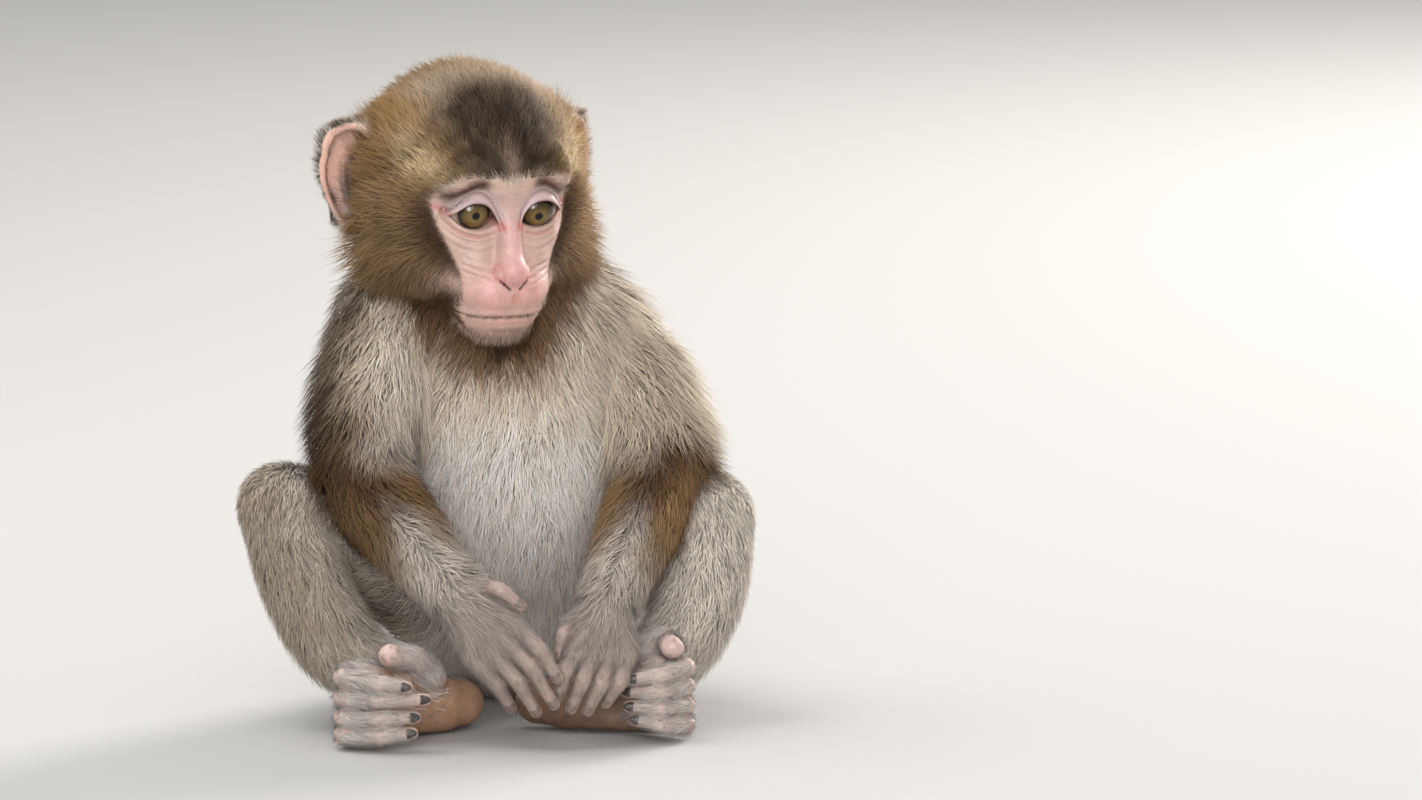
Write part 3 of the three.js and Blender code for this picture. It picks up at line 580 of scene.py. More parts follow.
def pose_of(mass):
    return SIDES["left" if mass.part.endswith("left") else "right"]


FAR_AWAY = 40.0  # distance given where no mass is near
CELL = 24.0  # side of the cubes in which places are gathered, so that far masses are passed over


def skin_distance(p, fine=True):
    """Distance from the bare skin, rough far away from it and true near it."""
    cells = np.floor(p / CELL).astype(int) @ (1, 1000, 1000000)
    order = np.argsort(cells, kind="stable")
    ends = np.nonzero(np.diff(cells[order]))[0] + 1
    d = np.full(len(p), FAR_AWAY)
    for group in np.split(order, ends):
        near = p[group]
        low, high = near.min(0), near.max(0)
        found = d[group]
        for mass in MASSES:
            if (mass.low < high).all() and (mass.high > low).all():
                found = blend(found, *(mass.distance(near, fine) if mass is head else mass.distance(near)))
        d[group] = found
    return np.maximum(d, FLOOR_CLEARANCE - p[:, 2])


def slope(p, step=0.15, fine=True):
    """The direction in which the distance from the skin grows."""
    ways = np.array([[1, 1, 1], [1, -1, -1], [-1, 1, -1], [-1, -1, 1]]) * step
    return sum(way * skin_distance(p + way, fine)[:, None] for way in ways) / (4 * step * step)


# ---------------------------------------------------------------- the skin's mesh

VOXEL = 0.9
BLOCK = 8  # voxels along a block's side
BLOCK_REACH = 3.8  # a block is looked into where a corner is this near the surface
BAND = 3.0  # largest distance that the voxels hold
SKIN_BOX = np.array([[-104, -106, -2], [104, 104, 268]], float)


def skin_surface():
    """Points and quads around the bare body, from distances taken only in the blocks near its surface."""
    side = VOXEL * BLOCK
    counts = np.ceil((SKIN_BOX[1] - SKIN_BOX[0]) / side).astype(int)
    corners = np.stack(np.meshgrid(*[np.arange(n + 1) for n in counts], indexing="ij"), -1)
    rough = skin_distance(SKIN_BOX[0] + corners.reshape(-1, 3) * side, False).reshape(counts + 1)
    around = np.stack([
        rough[i : i + counts[0], j : j + counts[1], k : k + counts[2]]
        for i in (0, 1) for j in (0, 1) for k in (0, 1)
    ])
    near = (np.abs(around).min(0) < BLOCK_REACH) | ((around.min(0) < 0) & (around.max(0) > 0))
    inside = np.where(rough[:-1, :-1, :-1] < 0, -BAND, BAND)
    field = np.repeat(np.repeat(np.repeat(inside, BLOCK, 0), BLOCK, 1), BLOCK, 2)
    inner = np.stack(np.meshgrid(*[np.arange(BLOCK)] * 3, indexing="ij"), -1).reshape(-1, 3)
    cells = (np.argwhere(near)[:, None] * BLOCK + inner[None]).reshape(-1, 3)
    field[tuple(cells.T)] = np.clip(skin_distance(SKIN_BOX[0] + cells * VOXEL), -BAND, BAND)
    grid = openvdb.FloatGrid(BAND)
    grid.copyFromArray(field)
    points, quads = grid.convertToQuads(0.0)
    return SKIN_BOX[0] + points.astype(float) * VOXEL, quads


def mesh_from(name, points, faces):
    """A mesh object from points in millimetres and faces that all have the same number of corners."""
    mesh = bpy.data.meshes.new(name)
    mesh.vertices.add(len(points))
    mesh.vertices.foreach_set("co", (np.asarray(points) * MM).astype(np.float32).ravel())
    mesh.loops.add(faces.size)
    mesh.loops.foreach_set("vertex_index", faces.astype(np.int32).ravel())
    mesh.polygons.add(len(faces))
    mesh.polygons.foreach_set("loop_start", (np.arange(len(faces)) * faces.shape[1]).astype(np.int32))
    mesh.update(calc_edges=True)
    mesh.shade_smooth()
    made = bpy.data.objects.new(name, mesh)
    bpy.context.scene.collection.objects.link(made)
    return made


def points_of(mesh):
    found = np.empty(len(mesh.vertices) * 3, np.float32)
    mesh.vertices.foreach_get("co", found)
    return found.reshape(-1, 3).astype(float) / MM


def triangles_of(mesh):
    mesh.calc_loop_triangles()
    found = np.empty(len(mesh.loop_triangles) * 3, np.int32)
    mesh.loop_triangles.foreach_get("vertices", found)
    return found.reshape(-1, 3)


def add_attribute(mesh, name, values):
    """Stores one number, or one colour, for each point."""
    if values.ndim == 1:
        mesh.attributes.new(name, "FLOAT", "POINT").data.foreach_set("value", values.astype(np.float32))
    else:
        colours = np.concatenate([values, np.ones((len(values), 1))], axis=1).astype(np.float32)
        mesh.attributes.new(name, "FLOAT_COLOR", "POINT").data.foreach_set("color", colours.ravel())


def apply_modifiers(made):
    """Replaces the object's mesh by what its modifiers make of it."""
    graph = bpy.context.evaluated_depsgraph_get()
    mesh = bpy.data.meshes.new_from_object(made.evaluated_get(graph), depsgraph=graph)
    old = made.data
    made.modifiers.clear()
    made.data = mesh
    bpy.data.meshes.remove(old)


COAT_EDGE, LIMB_EDGE, FACE_EDGE, FINE_EDGE = 5, 1.75, 0.9, 0.6  # longest edges in the skin's mesh
SKIN_SHARE = 0.09  # of the triangles kept where the mesh is thinned
SPLIT_ROUNDS = 4


def wanted_edge(p):
    """Longest edge that the skin's mesh has at a place: short where it shows bare, long under the coat."""
    q = to_head(p)
    side, up = np.abs(q[:, 0]), q[:, 2]
    front = smooth_step(14, 18, q[:, 1])
    face = smooth_step(3, -1, outside_face(q)) * front
    eyes = smooth_step(2.6, 1.4, np.abs(opening_distance(side, up))) * smooth_step(26, 28, q[:, 1])
    mouth = smooth_step(2.4, 1.2, np.abs(up - mouth_line(side))) * smooth_step(19, 17, side) * front
    from_nostril = np.linalg.norm(np.stack([side - 3, up + 31.5], 1), axis=1)
    nostrils = smooth_step(3, 1.5, from_nostril) * smooth_step(42, 44, q[:, 1])
    fine = np.maximum(np.maximum(eyes, mouth), nostrils)
    ears = smooth_step(26, 22, np.min([np.linalg.norm(p - ear.middle, axis=1) for ear in EARS], axis=0))
    ears = ears * smooth_step(33, 36, side)
    hands = smooth_step(66, 60, p[:, 2]) * smooth_step(-60, -66, p[:, 1])
    hands *= smooth_step(62, 55, np.abs(p[:, 0] - 8))
    feet = smooth_step(34, 30, p[:, 2]) * smooth_step(-42, -48, p[:, 1])
    length = COAT_EDGE + (LIMB_EDGE - COAT_EDGE) * np.maximum(np.maximum(hands, feet), ears)
    length = length + (FACE_EDGE - length) * face
    return length + (FINE_EDGE - length) * fine


def make_skin():
    points, quads = skin_surface()
    skin = mesh_from("skin", points, quads)
    skin.modifiers.new("thin", "DECIMATE").ratio = SKIN_SHARE
    apply_modifiers(skin)
    points, faces = points_of(skin.data), triangles_of(skin.data)
    bpy.data.objects.remove(skin)
    for _ in range(SPLIT_ROUNDS):
        points, faces = split_long_edges(points, faces, wanted_edge)
        points = drawn_to_skin(evened_out(points, faces), faces)
    return drawn_to_skin(evened_out(points, faces), faces, 2), faces


def edges_of(faces):
    return np.concatenate([faces[:, [0, 1]], faces[:, [1, 2]], faces[:, [2, 0]]])


def evened_out(points, faces, rounds=2):
    """Slides points along the surface towards the middle of their neighbours."""
    edges = edges_of(faces)
    shared = np.bincount(edges[:, 0], minlength=len(points))[:, None]
    for _ in range(rounds):
        neighbours = points[edges[:, 1]]
        sums = np.stack([np.bincount(edges[:, 0], neighbours[:, k], len(points)) for k in range(3)], axis=1)
        way = sums / np.maximum(shared, 1) - points
        out = point_normals(points, faces)
        points = points + 0.5 * (way - out * (way * out).sum(1)[:, None])
    return points


def point_normals(points, faces):
    a, b, c = (points[faces[:, k]] for k in range(3))
    across = np.cross(b - a, c - a)
    corners = faces.ravel()
    spread = np.repeat(across, 3, axis=0)
    return unit(np.stack([np.bincount(corners, spread[:, k], len(points)) for k in range(3)], axis=1))


def split_long_edges(points, faces, wanted):
    """Halves every edge longer than its place allows, in triangles that stay joined."""
    edges = np.sort(edges_of(faces), axis=1)
    unique, which = np.unique(edges, axis=0, return_inverse=True)
    which = which.reshape(3, -1).T
    middle = (points[unique[:, 0]] + points[unique[:, 1]]) / 2
    length = np.linalg.norm(points[unique[:, 0]] - points[unique[:, 1]], axis=1)
    split = length > wanted(middle)
    new = np.full(len(unique), -1)
    new[split] = len(points) + np.arange(split.sum())
    halves = new[which]
    cut = (halves >= 0).sum(1)
    made = [faces[cut == 0]]
    for turn_by in range(3):
        a, b, c = (faces[:, (turn_by + k) % 3] for k in range(3))
        ab, bc, ca = (halves[:, (turn_by + k) % 3] for k in range(3))
        one = (cut == 1) & (ab >= 0)
        made += [np.stack([a, ab, c], 1)[one], np.stack([ab, b, c], 1)[one]]
        two = (cut == 2) & (ca < 0)
        made += [np.stack([ab, b, bc], 1)[two], np.stack([a, ab, bc], 1)[two], np.stack([a, bc, c], 1)[two]]
    three = cut == 3
    a, b, c = faces[three].T
    ab, bc, ca = halves[three].T
    made += [np.stack(t, 1) for t in ((a, ab, ca), (ab, b, bc), (ca, bc, c), (ab, bc, ca))]
    return np.concatenate([points, middle[split]]), np.concatenate(made)


def drawn_to_skin(points, faces, rounds=1):
    """Moves points squarely onto the surface of the bare body."""
    for _ in range(rounds):
        points = points - point_normals(points, faces) * np.clip(skin_distance(points), -0.6, 0.6)[:, None]
    return points


# ---------------------------------------------------------------- stage and camera

CAMERA_TARGET = np.array([85.2, 0, 124.6])
CAMERA_DISTANCE = 3000.0
CAMERA_RISE = 8  # degrees
SENSOR = 36.0
LENS = 189.87


def look_at(made, place, target):
    made.location = Vector(place * MM)
    made.rotation_euler = Vector((target - place) * MM).to_track_quat("-Z", "Y").to_euler()


def make_camera():
    data = bpy.data.cameras.new("camera")
    data.sensor_width, data.lens = SENSOR, LENS
    data.clip_start, data.clip_end = 0.1, 50
    camera = bpy.data.objects.new("camera", data)
    rise = math.radians(CAMERA_RISE)
    away = np.array([0, -math.cos(rise), math.sin(rise)])
    look_at(camera, CAMERA_TARGET + CAMERA_DISTANCE * away, CAMERA_TARGET)
    bpy.context.scene.collection.objects.link(camera)
    bpy.context.scene.camera = camera
    bpy.context.scene.view_settings.view_transform = "Standard"


LIGHTS = [  # name, place and size in millimetres, watts, colour, and whether it is only mirrored
    ("key", (0, -2300, 1000), 1500, 25, (1, 0.99, 0.97), False),
    ("top", (-650, 150, 1650), 1200, 21, (0.98, 0.985, 1), False),
    ("catch", (-500, -2200, 600), 1000, 46, (0.94, 0.97, 1), True),
    ("side", (1900, 2200, 1500), 1300, 120, (1, 0.975, 0.94), False),
]
LIT_PLACE = np.array([0, -10, 130.0])
WORLD_COLOUR, WORLD_STRENGTH = (0.80, 0.80, 0.79, 1), 0.92
FLOOR_HALF = 12000
FLOOR_COLOUR, FLOOR_ROUGHNESS = (0.42, 0.41, 0.395, 1), 0.85


def make_lights():
    for name, place, size, watts, colour, mirrored in LIGHTS:
        data = bpy.data.lights.new(name, "AREA")
        data.shape, data.size, data.energy, data.color = "DISK", size * MM, watts, colour
        lamp = bpy.data.objects.new(name, data)
        lamp.visible_camera = False
        lamp.visible_diffuse = not mirrored
        look_at(lamp, np.array(place, float), LIT_PLACE)
        bpy.context.scene.collection.objects.link(lamp)
    world = bpy.data.worlds.new("studio")
    bpy.context.scene.world = world
    world.use_nodes = True
    background = world.node_tree.nodes["Background"]
    background.inputs["Color"].default_value = WORLD_COLOUR
    background.inputs["Strength"].default_value = WORLD_STRENGTH


def make_floor():
    corners = FLOOR_HALF * np.array([[-1, -1, 0], [1, -1, 0], [1, 1, 0], [-1, 1, 0]], float)
    floor = mesh_from("floor", corners, np.array([[0, 1, 2, 3]]))
    constants = {"Base Color": FLOOR_COLOUR, "Roughness": FLOOR_ROUGHNESS}
    floor.data.materials.append(Shading("floor", constants).material)


# ---------------------------------------------------------------- colours and coat
# A coat row is length, depth, width (all millimetres) and tufts for each square millimetre.

COLOUR = {name: linear(code) for name, code in dict(
    pink="c9a99b", rose="e2abab", nose="d79b98", red="c4726c", lid="c6aeae", muzzle="d29c94", mouth="7d4a42",
    lip="d2a198", chin="c3a195", brow_skin="c9a896", crease_shade="5e3d38", lid_rim="c29d91", brow_dark="44261b",
    under_nose="b5715f", nostril_shade="38190f", pupil="050303", iris_rim="100a07", iris_inner="786238",
    iris="64502b", iris_outer="382b18", eye_white="cdb9ae", white_edge="7c6656",
    ear="e6b7a6", ear_inner="2e1a15", hand="ab948b", hand_crease="7c6860", foot="cfb3aa", sole="a67e5c",
    sole_shaded="5e3c2c", groin="8e6a58",
    crown_dark="1c0e05", crown_grey="857b74", crown_brown="8f7c68", gold="8c6d48", gold_light="c4ae8a",
    cheek="96795a", cheek_low="80654a", band="533e2f", spot="d4b4a2", ruff="735438", streak="b99b8a",
    brow_hair="e4cab6", down="e0c6b8", nape="7d6649", back="70593f", flank="8c7760", belly="f8ece2",
    chest="ead6c3", shoulder="d8c7b1", arm_outer="402f21", forearm="60452d", forearm_gold="a88760",
    wrist="cdc1b6", hand_hair="b5a9a0", thigh="b6a797", shank="bbae9f", leg_pale="eadfd4", foot_hair="ddd4cc",
    tail="846a48", ear_hair="d8ccbe", crown_sky_sheen="b3a290", crown_streak="595150", lip_hair="5a4742",
    arm_low="7d6a55",
).items()}


def layered(base, *layers):
    """Colours laid one over another: each layer is a colour and its share at each place."""
    for colour, share in layers:
        base = mix(base, COLOUR[colour], np.clip(share, 0, 1))
    return base


def plain(name, count):
    return np.repeat(COLOUR[name][None], count, axis=0)


def head_coat(q):
    """Coat of the head at head places: colours, flow and the coat row."""
    side, forward, up = np.abs(q[:, 0]), q[:, 1], q[:, 2]
    edge = outside_face(q)
    spread = waves(q, 14, 5) * 0.5
    back = smooth_step(-5, -30, forward)
    sides = smooth_step(10, 26, side + 3 * spread)
    colour = layered(
        plain("crown_brown", len(q)),
        ("gold", sides * smooth_step(32, 14, up)),
        ("gold_light", bell(up - 12, 12) * smooth_step(20, 30, side) * smooth_step(-2, 12, forward) * 0.75),
        # Painted sheen: the upper sides of the crown are lightened as if they reflected the sky.
        ("crown_sky_sheen", smooth_step(16, 30, up) * smooth_step(12, 24, side) * (1 - back) * 0.7),
        ("crown_grey", smooth_step(30, 38, up) * bell(side, 16) * 0.8),
        ("crown_streak", bell(side, 4) * smooth_step(30, 38, up) * smooth_step(-18, -6, forward) * 0.8),
        ("nape", back),
        ("cheek", smooth_step(2, -12, up + 3 * spread) * (1 - back)),
        ("cheek_low", smooth_step(-22, -38, up) * (1 - back)),
        ("gold", bell(edge - 16, 6) * smooth_step(-4, -14, up) * smooth_step(-50, -40, up) * 0.55),
        ("ruff", smooth_step(-44, -54, up)),
    )
    oval = np.hypot(side / (24.5 - 0.4 * (up - 10)), (up - 20) / np.where(up > 20, 22, 17))
    ragged = oval + 0.14 * spread + 0.14 * waves(q, 4, 45)
    patch = smooth_step(1.4, 0.62, ragged) * smooth_step(-4, 10, forward)
    streak = bell(side - 0.5, 2.4) * smooth_step(24, 12, up) * smooth_step(20, 26, forward)
    dark_edge = bell(edge - 1.0, 2.8) * smooth_step(2, -12, up) * smooth_step(-56, -44, up)
    spot = bell(np.hypot(side - 20.5, (up + 34.5) * 0.85), 3.6)
    over_brow = smooth_step(3.5, 1.5, edge) * smooth_step(-2, 4, up) * smooth_step(19, 24, forward)
    colour = layered(
        colour,
        ("crown_dark", patch * (0.9 + 0.1 * waves(q, 2.5, 44)) * 0.95),
        ("streak", streak * 0.5),
        ("band", np.maximum(dark_edge * 1.1, bell(edge - 1.5, 3) * bell(up + 2, 9) * 0.7)),
        ("spot", spot * smooth_step(12, 22, forward)),
        ("brow_hair", over_brow * 0.9),
    )
    ways = np.stack([q[:, 0], (forward - 46) * 0.9, up + 16], axis=1)
    sinking = 1.3 * back + 1.1 * smooth_step(-6, -36, up)
    ways = unit(ways) + DOWN * sinking[:, None]
    ways[:, 1] -= 0.55 * smooth_step(-4, 6, up)
    cheeks = smooth_step(14, 30, side) * smooth_step(34, 4, up)
    nape = smooth_step(-10, -40, forward)
    depth = (7.5 + 6.5 * cheeks + 5 * nape) * smooth_step(-1, 17, edge) + 0.3
    length = depth / 0.55 + 2.0
    width = 0.22 + 0.009 * length
    density = 3.1 - 1.5 * smooth_step(-6, -30, forward) - 0.6 * smooth_step(-48, -58, up)
    return colour, ways @ HEAD_AXES, np.stack([length, depth, width, density], axis=1)


CHEST_MIDDLE = (3, 10, 0)


def trunk_coat(p, normal):
    spread = waves(p, 22, 8) * 0.6
    facing = normal @ FRONT
    sideways = (p - CHEST_MIDDLE) @ ACROSS
    side = np.abs(sideways)
    front = smooth_step(-0.15, 0.45, facing + 0.1 * spread)
    shoulders = smooth_step(134, 166, p[:, 2] + 4 * spread) * smooth_step(16, 30, side)
    collar = smooth_step(18, 8, head.distance(p, False)[0] + 3 * spread) * smooth_step(-0.6, 0.1, facing)
    colour = layered(
        plain("back", len(p)),
        ("flank", smooth_step(-0.75, -0.1, facing)),
        ("chest", front),
        ("belly", front * smooth_step(140, 110, p[:, 2])),
        ("shoulder", shoulders * front * 0.8),
        # Painted shade: the outside of the right shoulder is darkened, on that side only.
        ("arm_outer", smooth_step(-26, -42, p[:, 0]) * smooth_step(120, 150, p[:, 2]) * 0.6),
        ("ruff", collar * 0.95),
        ("groin", front * smooth_step(44, 30, p[:, 2]) * bell(side, 16) * 0.8),
    )
    ways = np.repeat(DOWN[None], len(p), axis=0) + ACROSS * (sideways * 0.006)[:, None]
    ways = ways - FRONT * (0.35 * smooth_step(40, 25, p[:, 2]) * (1 - front))[:, None]
    low = smooth_step(34, 10, p[:, 2])
    depth = 13.5 - 2.5 * front - 6 * low - 1.5 * bell(facing, 0.4)
    length = 24 - 1.5 * front - 8 * low
    width = np.full(len(p), 0.42)
    density = 0.95 + 0.45 * front
    return colour, ways, np.stack([length, depth, width, density], axis=1)


# Coat along the limbs: colour, length, depth, width and density at each station.
LIMB_COATS = {
    "upper_arm": (
        ("shoulder", 23, 12, 0.44, 1.1), ("shoulder", 23, 12, 0.44, 1.15), ("arm_low", 20, 10.5, 0.42, 1.3),
        ("forearm", 17, 9, 0.4, 1.6),
    ),
    "forearm": (
        ("forearm", 17, 9, 0.4, 1.6), ("forearm", 15, 7.8, 0.38, 1.7), ("wrist", 13, 6.2, 0.35, 1.8),
        ("wrist", 11, 4.6, 0.32, 2.0),
    ),
    "thigh": (("thigh", 20, 9, 0.42, 0.95), ("thigh", 19, 8.5, 0.42, 1.1), ("shank", 13, 5.6, 0.38, 1.7)),
    "shank": (
        ("shank", 13, 5.6, 0.38, 1.7), ("shank", 16, 7.4, 0.4, 1.5), ("shank", 18, 9, 0.4, 1.5),
        ("leg_pale", 13, 5.4, 0.36, 1.8),
    ),
    "hand": (
        ("hand_hair", 12, 4.2, 0.32, 2.0), ("hand_hair", 10, 3.1, 0.28, 2.2),
        ("hand_hair", 7.5, 2.0, 0.24, 2.2),
    ),
    "foot": (
        ("foot_hair", 12, 4.2, 0.34, 1.9), ("foot_hair", 11, 3.8, 0.32, 2.1),
        ("foot_hair", 9, 3.0, 0.28, 2.4),
    ),
    "finger": (
        ("hand_hair", 7, 1.7, 0.2, 2.6), ("hand_hair", 5, 1.2, 0.18, 2.2), ("hand_hair", 2.5, 0.6, 0.15, 1.2),
    ),
    "toe": (
        ("foot_hair", 9, 2.9, 0.26, 3.0), ("foot_hair", 8, 2.4, 0.23, 2.8), ("foot_hair", 4, 1.1, 0.18, 1.6),
    ),
    "tail": (("tail", 16, 6.5, 0.5, 1.2), ("tail", 13, 5, 0.46, 1.3), ("tail", 9, 3, 0.42, 1.3)),
}
DIGIT_ENDS = {"finger": (2.0, 1.6), "toe": (1.95, 1.75)}  # where along a digit its hair stops
PART_KINDS = {kind: kind for kind in LIMB_COATS} | {"thumb": "finger"}


def limb_kind(part):
    return next(kind for start, kind in PART_KINDS.items() if part.startswith(start))


def limb_coat(mass, p, normal):
    kind, pose = limb_kind(mass.part), pose_of(mass)
    on_left = pose["sense"] > 0
    place = mass.measure(p)[1]
    names, *columns = zip(*LIMB_COATS[kind])
    stations = np.arange(len(names))
    along = place / ((len(mass.rows) - 1) / mass.steps) * (len(names) - 1)
    shades = np.array([COLOUR[name] for name in names]).T
    colour, row = (
        np.stack([np.interp(along, stations, column) for column in table], axis=1)
        for table in (shades, columns)
    )
    ways = mass.tangent(place)
    spread = waves(p, 12, 9) * 0.5
    if kind in ("upper_arm", "forearm"):
        outer = normal @ unit((pose["sense"] * 0.9, 0.35, 0))
        # Both arms have darker hair outside. The much stronger share on the right arm is painted shade.
        dark = smooth_step(-0.25, 0.5, outer + 0.2 * spread) * (0.15 if on_left else 0.95)
    if kind == "upper_arm":
        colour = layered(
            colour,
            ("arm_outer", dark * (smooth_step(0.2, 1.4, along) * 0.15 + 0.85)),
            ("belly", smooth_step(0.0, -0.7, outer) * 0.45),
            # Painted light: the left shoulder is lightened, on that side only.
            ("shoulder", smooth_step(2.7, 1.7, along) * on_left * 0.9),
        )
        ways = ways + DOWN * 0.25
    if kind == "forearm":
        ridge_way = unit(np.array([-pose["sense"] * 0.15, -1, 0.25]))
        across = unit(np.cross(ways, ridge_way))
        angle = (normal * across).sum(1)
        facing = smooth_step(0.1, 0.5, normal @ ridge_way)
        ridge = bell(angle, 0.28) * facing * smooth_step(0.5, 1.6, along)
        beside = smooth_step(0.15, 0.6, np.abs(angle)) * smooth_step(2.2, 0.9, along)
        colour = layered(
            colour,
            ("arm_outer", dark * smooth_step(1.8, 0.9, along)),
            # The golden patch is painted stronger on the left forearm as painted light.
            ("forearm_gold", beside * (0.85 if on_left else 0.45)),
            ("wrist", ridge * 0.85),
        )
        parting = np.sign(angle) * smooth_step(0.6, 0.05, np.abs(angle)) * facing * 0.6
        ways = ways + across * (parting * smooth_step(0.6, 1.6, along))[:, None] + DOWN * 0.25
    if kind in ("thigh", "shank"):
        inner = smooth_step(0.1, -0.8, normal @ unit((pose["sense"], 0.1, 0)))
        colour = layered(
            colour,
            ("leg_pale", inner * 0.5),
            ("flank", bell(spread - 0.5, 0.5) * 0.35),
            # Painted light: the left leg is paled, on that side only.
            ("leg_pale", 0.7 * on_left),
        )
        ways = ways + DOWN * 0.35
    if kind in ("hand", "finger"):
        row[:, 3] *= 1 - smooth_step(0.15, -0.35, normal @ back_of_hand(pose))
    if kind in ("foot", "toe"):
        row[:, 3] *= foot_hair(pose, kind, normal)
    if kind in DIGIT_ENDS:
        row[:, 3] *= smooth_step(*DIGIT_ENDS[kind], along)
    return colour, ways, row


def back_of_hand(pose):
    """The way that the back of the hand faces."""
    across = np.cross(np.array(pose["knuckles"], float) - pose["wrist"], pose["knuckle_line"])
    return unit(across * np.sign(-across[1]))


def foot_hair(pose, kind, normal):
    """How hairy the foot is: bare on its sole, and on the side of its curled toes that faces the sole."""
    sole = unit(pose["sole"])
    if kind == "foot":
        return smooth_step(0.3, -0.25, normal @ sole)
    return smooth_step(-0.35, 0.15, normal @ unit((-sole[0] * 0.25, -1.0, 0.1)))


def ear_coat(ear, p, normal):
    r = ear.places(p)
    rim = smooth_step(0.72, 0.92, np.hypot(r[:, 0] / EAR["wide"], r[:, 2] / EAR["tall"]))
    back = smooth_step(0.0, -0.6, normal @ ear.axes[1])
    inner = smooth_step(-1, -8, r[:, 0])
    colour = layered(
        plain("ear_hair", len(p)), ("cheek", back * 0.8), ("gold", np.maximum(inner, back * 0.6)),
    )
    row = np.stack([
        3.5 + 4 * rim + 5 * back + 7 * inner,
        1.2 + 1.5 * rim + 1.4 * back + 3.6 * inner,
        0.14 + 0.04 * rim + 0.08 * back + 0.12 * inner,
        0.35 + 0.9 * rim * (1 - inner) + 4.5 * back + 2.2 * inner,
    ], axis=1)
    ways = ear.axes[0] * 0.7 + ear.axes[2] * 0.9 * np.clip(r[:, 2:3] / 12, -1, 1)
    return colour, ways + normal * 0.3, row


def coat_of(mass, p, normal):
    if mass is head:
        return head_coat(to_head(p))
    if mass is trunk:
        return trunk_coat(p, normal)
    if isinstance(mass, Ear):
        return ear_coat(mass, p, normal)
    return limb_coat(mass, p, normal)


MEDIUM_STEP = 1e-3  # millimetres past a surface that a ray is taken up again
MOST_HITS = 16
MOST_ROOM = 22
ROOM_ROUNDS = 12  # in which the room is evened out
BARE_PARTS = ("hand", "finger", "toe", "foot", "ear")


def cad_tree():
    """The CAD solids' surfaces, to find how far out the coat may reach."""
    points, faces = [], []
    for name in frame["nodes"]:
        mesh = bpy.data.objects[name].data
        start = len(points)
        points += [tuple(v.co / MM) for v in mesh.vertices]
        faces += [tuple(start + i for i in polygon.vertices) for polygon in mesh.polygons]
    return BVHTree.FromPolygons(points, faces)


def room_at(tree, place, way):
    """How far it is from a place along a way to the outside of the solids that hold it."""
    crossings, travelled, origin = [], 0.0, place
    while len(crossings) < MOST_HITS:
        hit, out, _, gap = tree.ray_cast(origin, way)
        if hit is None:
            break
        travelled += gap
        crossings.append((travelled, 1 if out.dot(way) > 0 else -1))
        origin = hit + way * MEDIUM_STEP
        travelled += MEDIUM_STEP
    inside = sum(step for _, step in crossings)
    for travelled, step in crossings:
        if inside <= 0:
            break
        inside -= step
        if inside == 0:
            return travelled
    return 0.0


def coat_room(points, normals, faces):
    """Room for the coat at each place on the skin, evened out over its surroundings."""
    tree = cad_tree()
    room = np.array([room_at(tree, Vector(p), Vector(n)) for p, n in zip(points, normals)])
    room = np.minimum(room, MOST_ROOM)
    edges = edges_of(faces)
    shared = np.maximum(np.bincount(edges[:, 0], minlength=len(points)), 1)
    for _ in range(ROOM_ROUNDS):
        room = 0.5 * room + 0.5 * np.bincount(edges[:, 0], room[edges[:, 1]], len(points)) / shared
    return room


SHARING = 2.2  # how gently one part's coat passes into its neighbour's, in millimetres
LEAST_SHARE = 0.02
BEYOND_REACH = 90.0  # distance given where a mass is far off
MOST_DEPTH = 21
BODY_MIDDLE = 2  # along x
JOWL, MANTLE = 6, 7  # depth of coat added over the cheeks and the shoulders
SLEEVES = (8, 5)  # and outside the left and the right arm
LIE_FLAT = (0.76, 0.6)  # depth for each length of hair, on the head and elsewhere


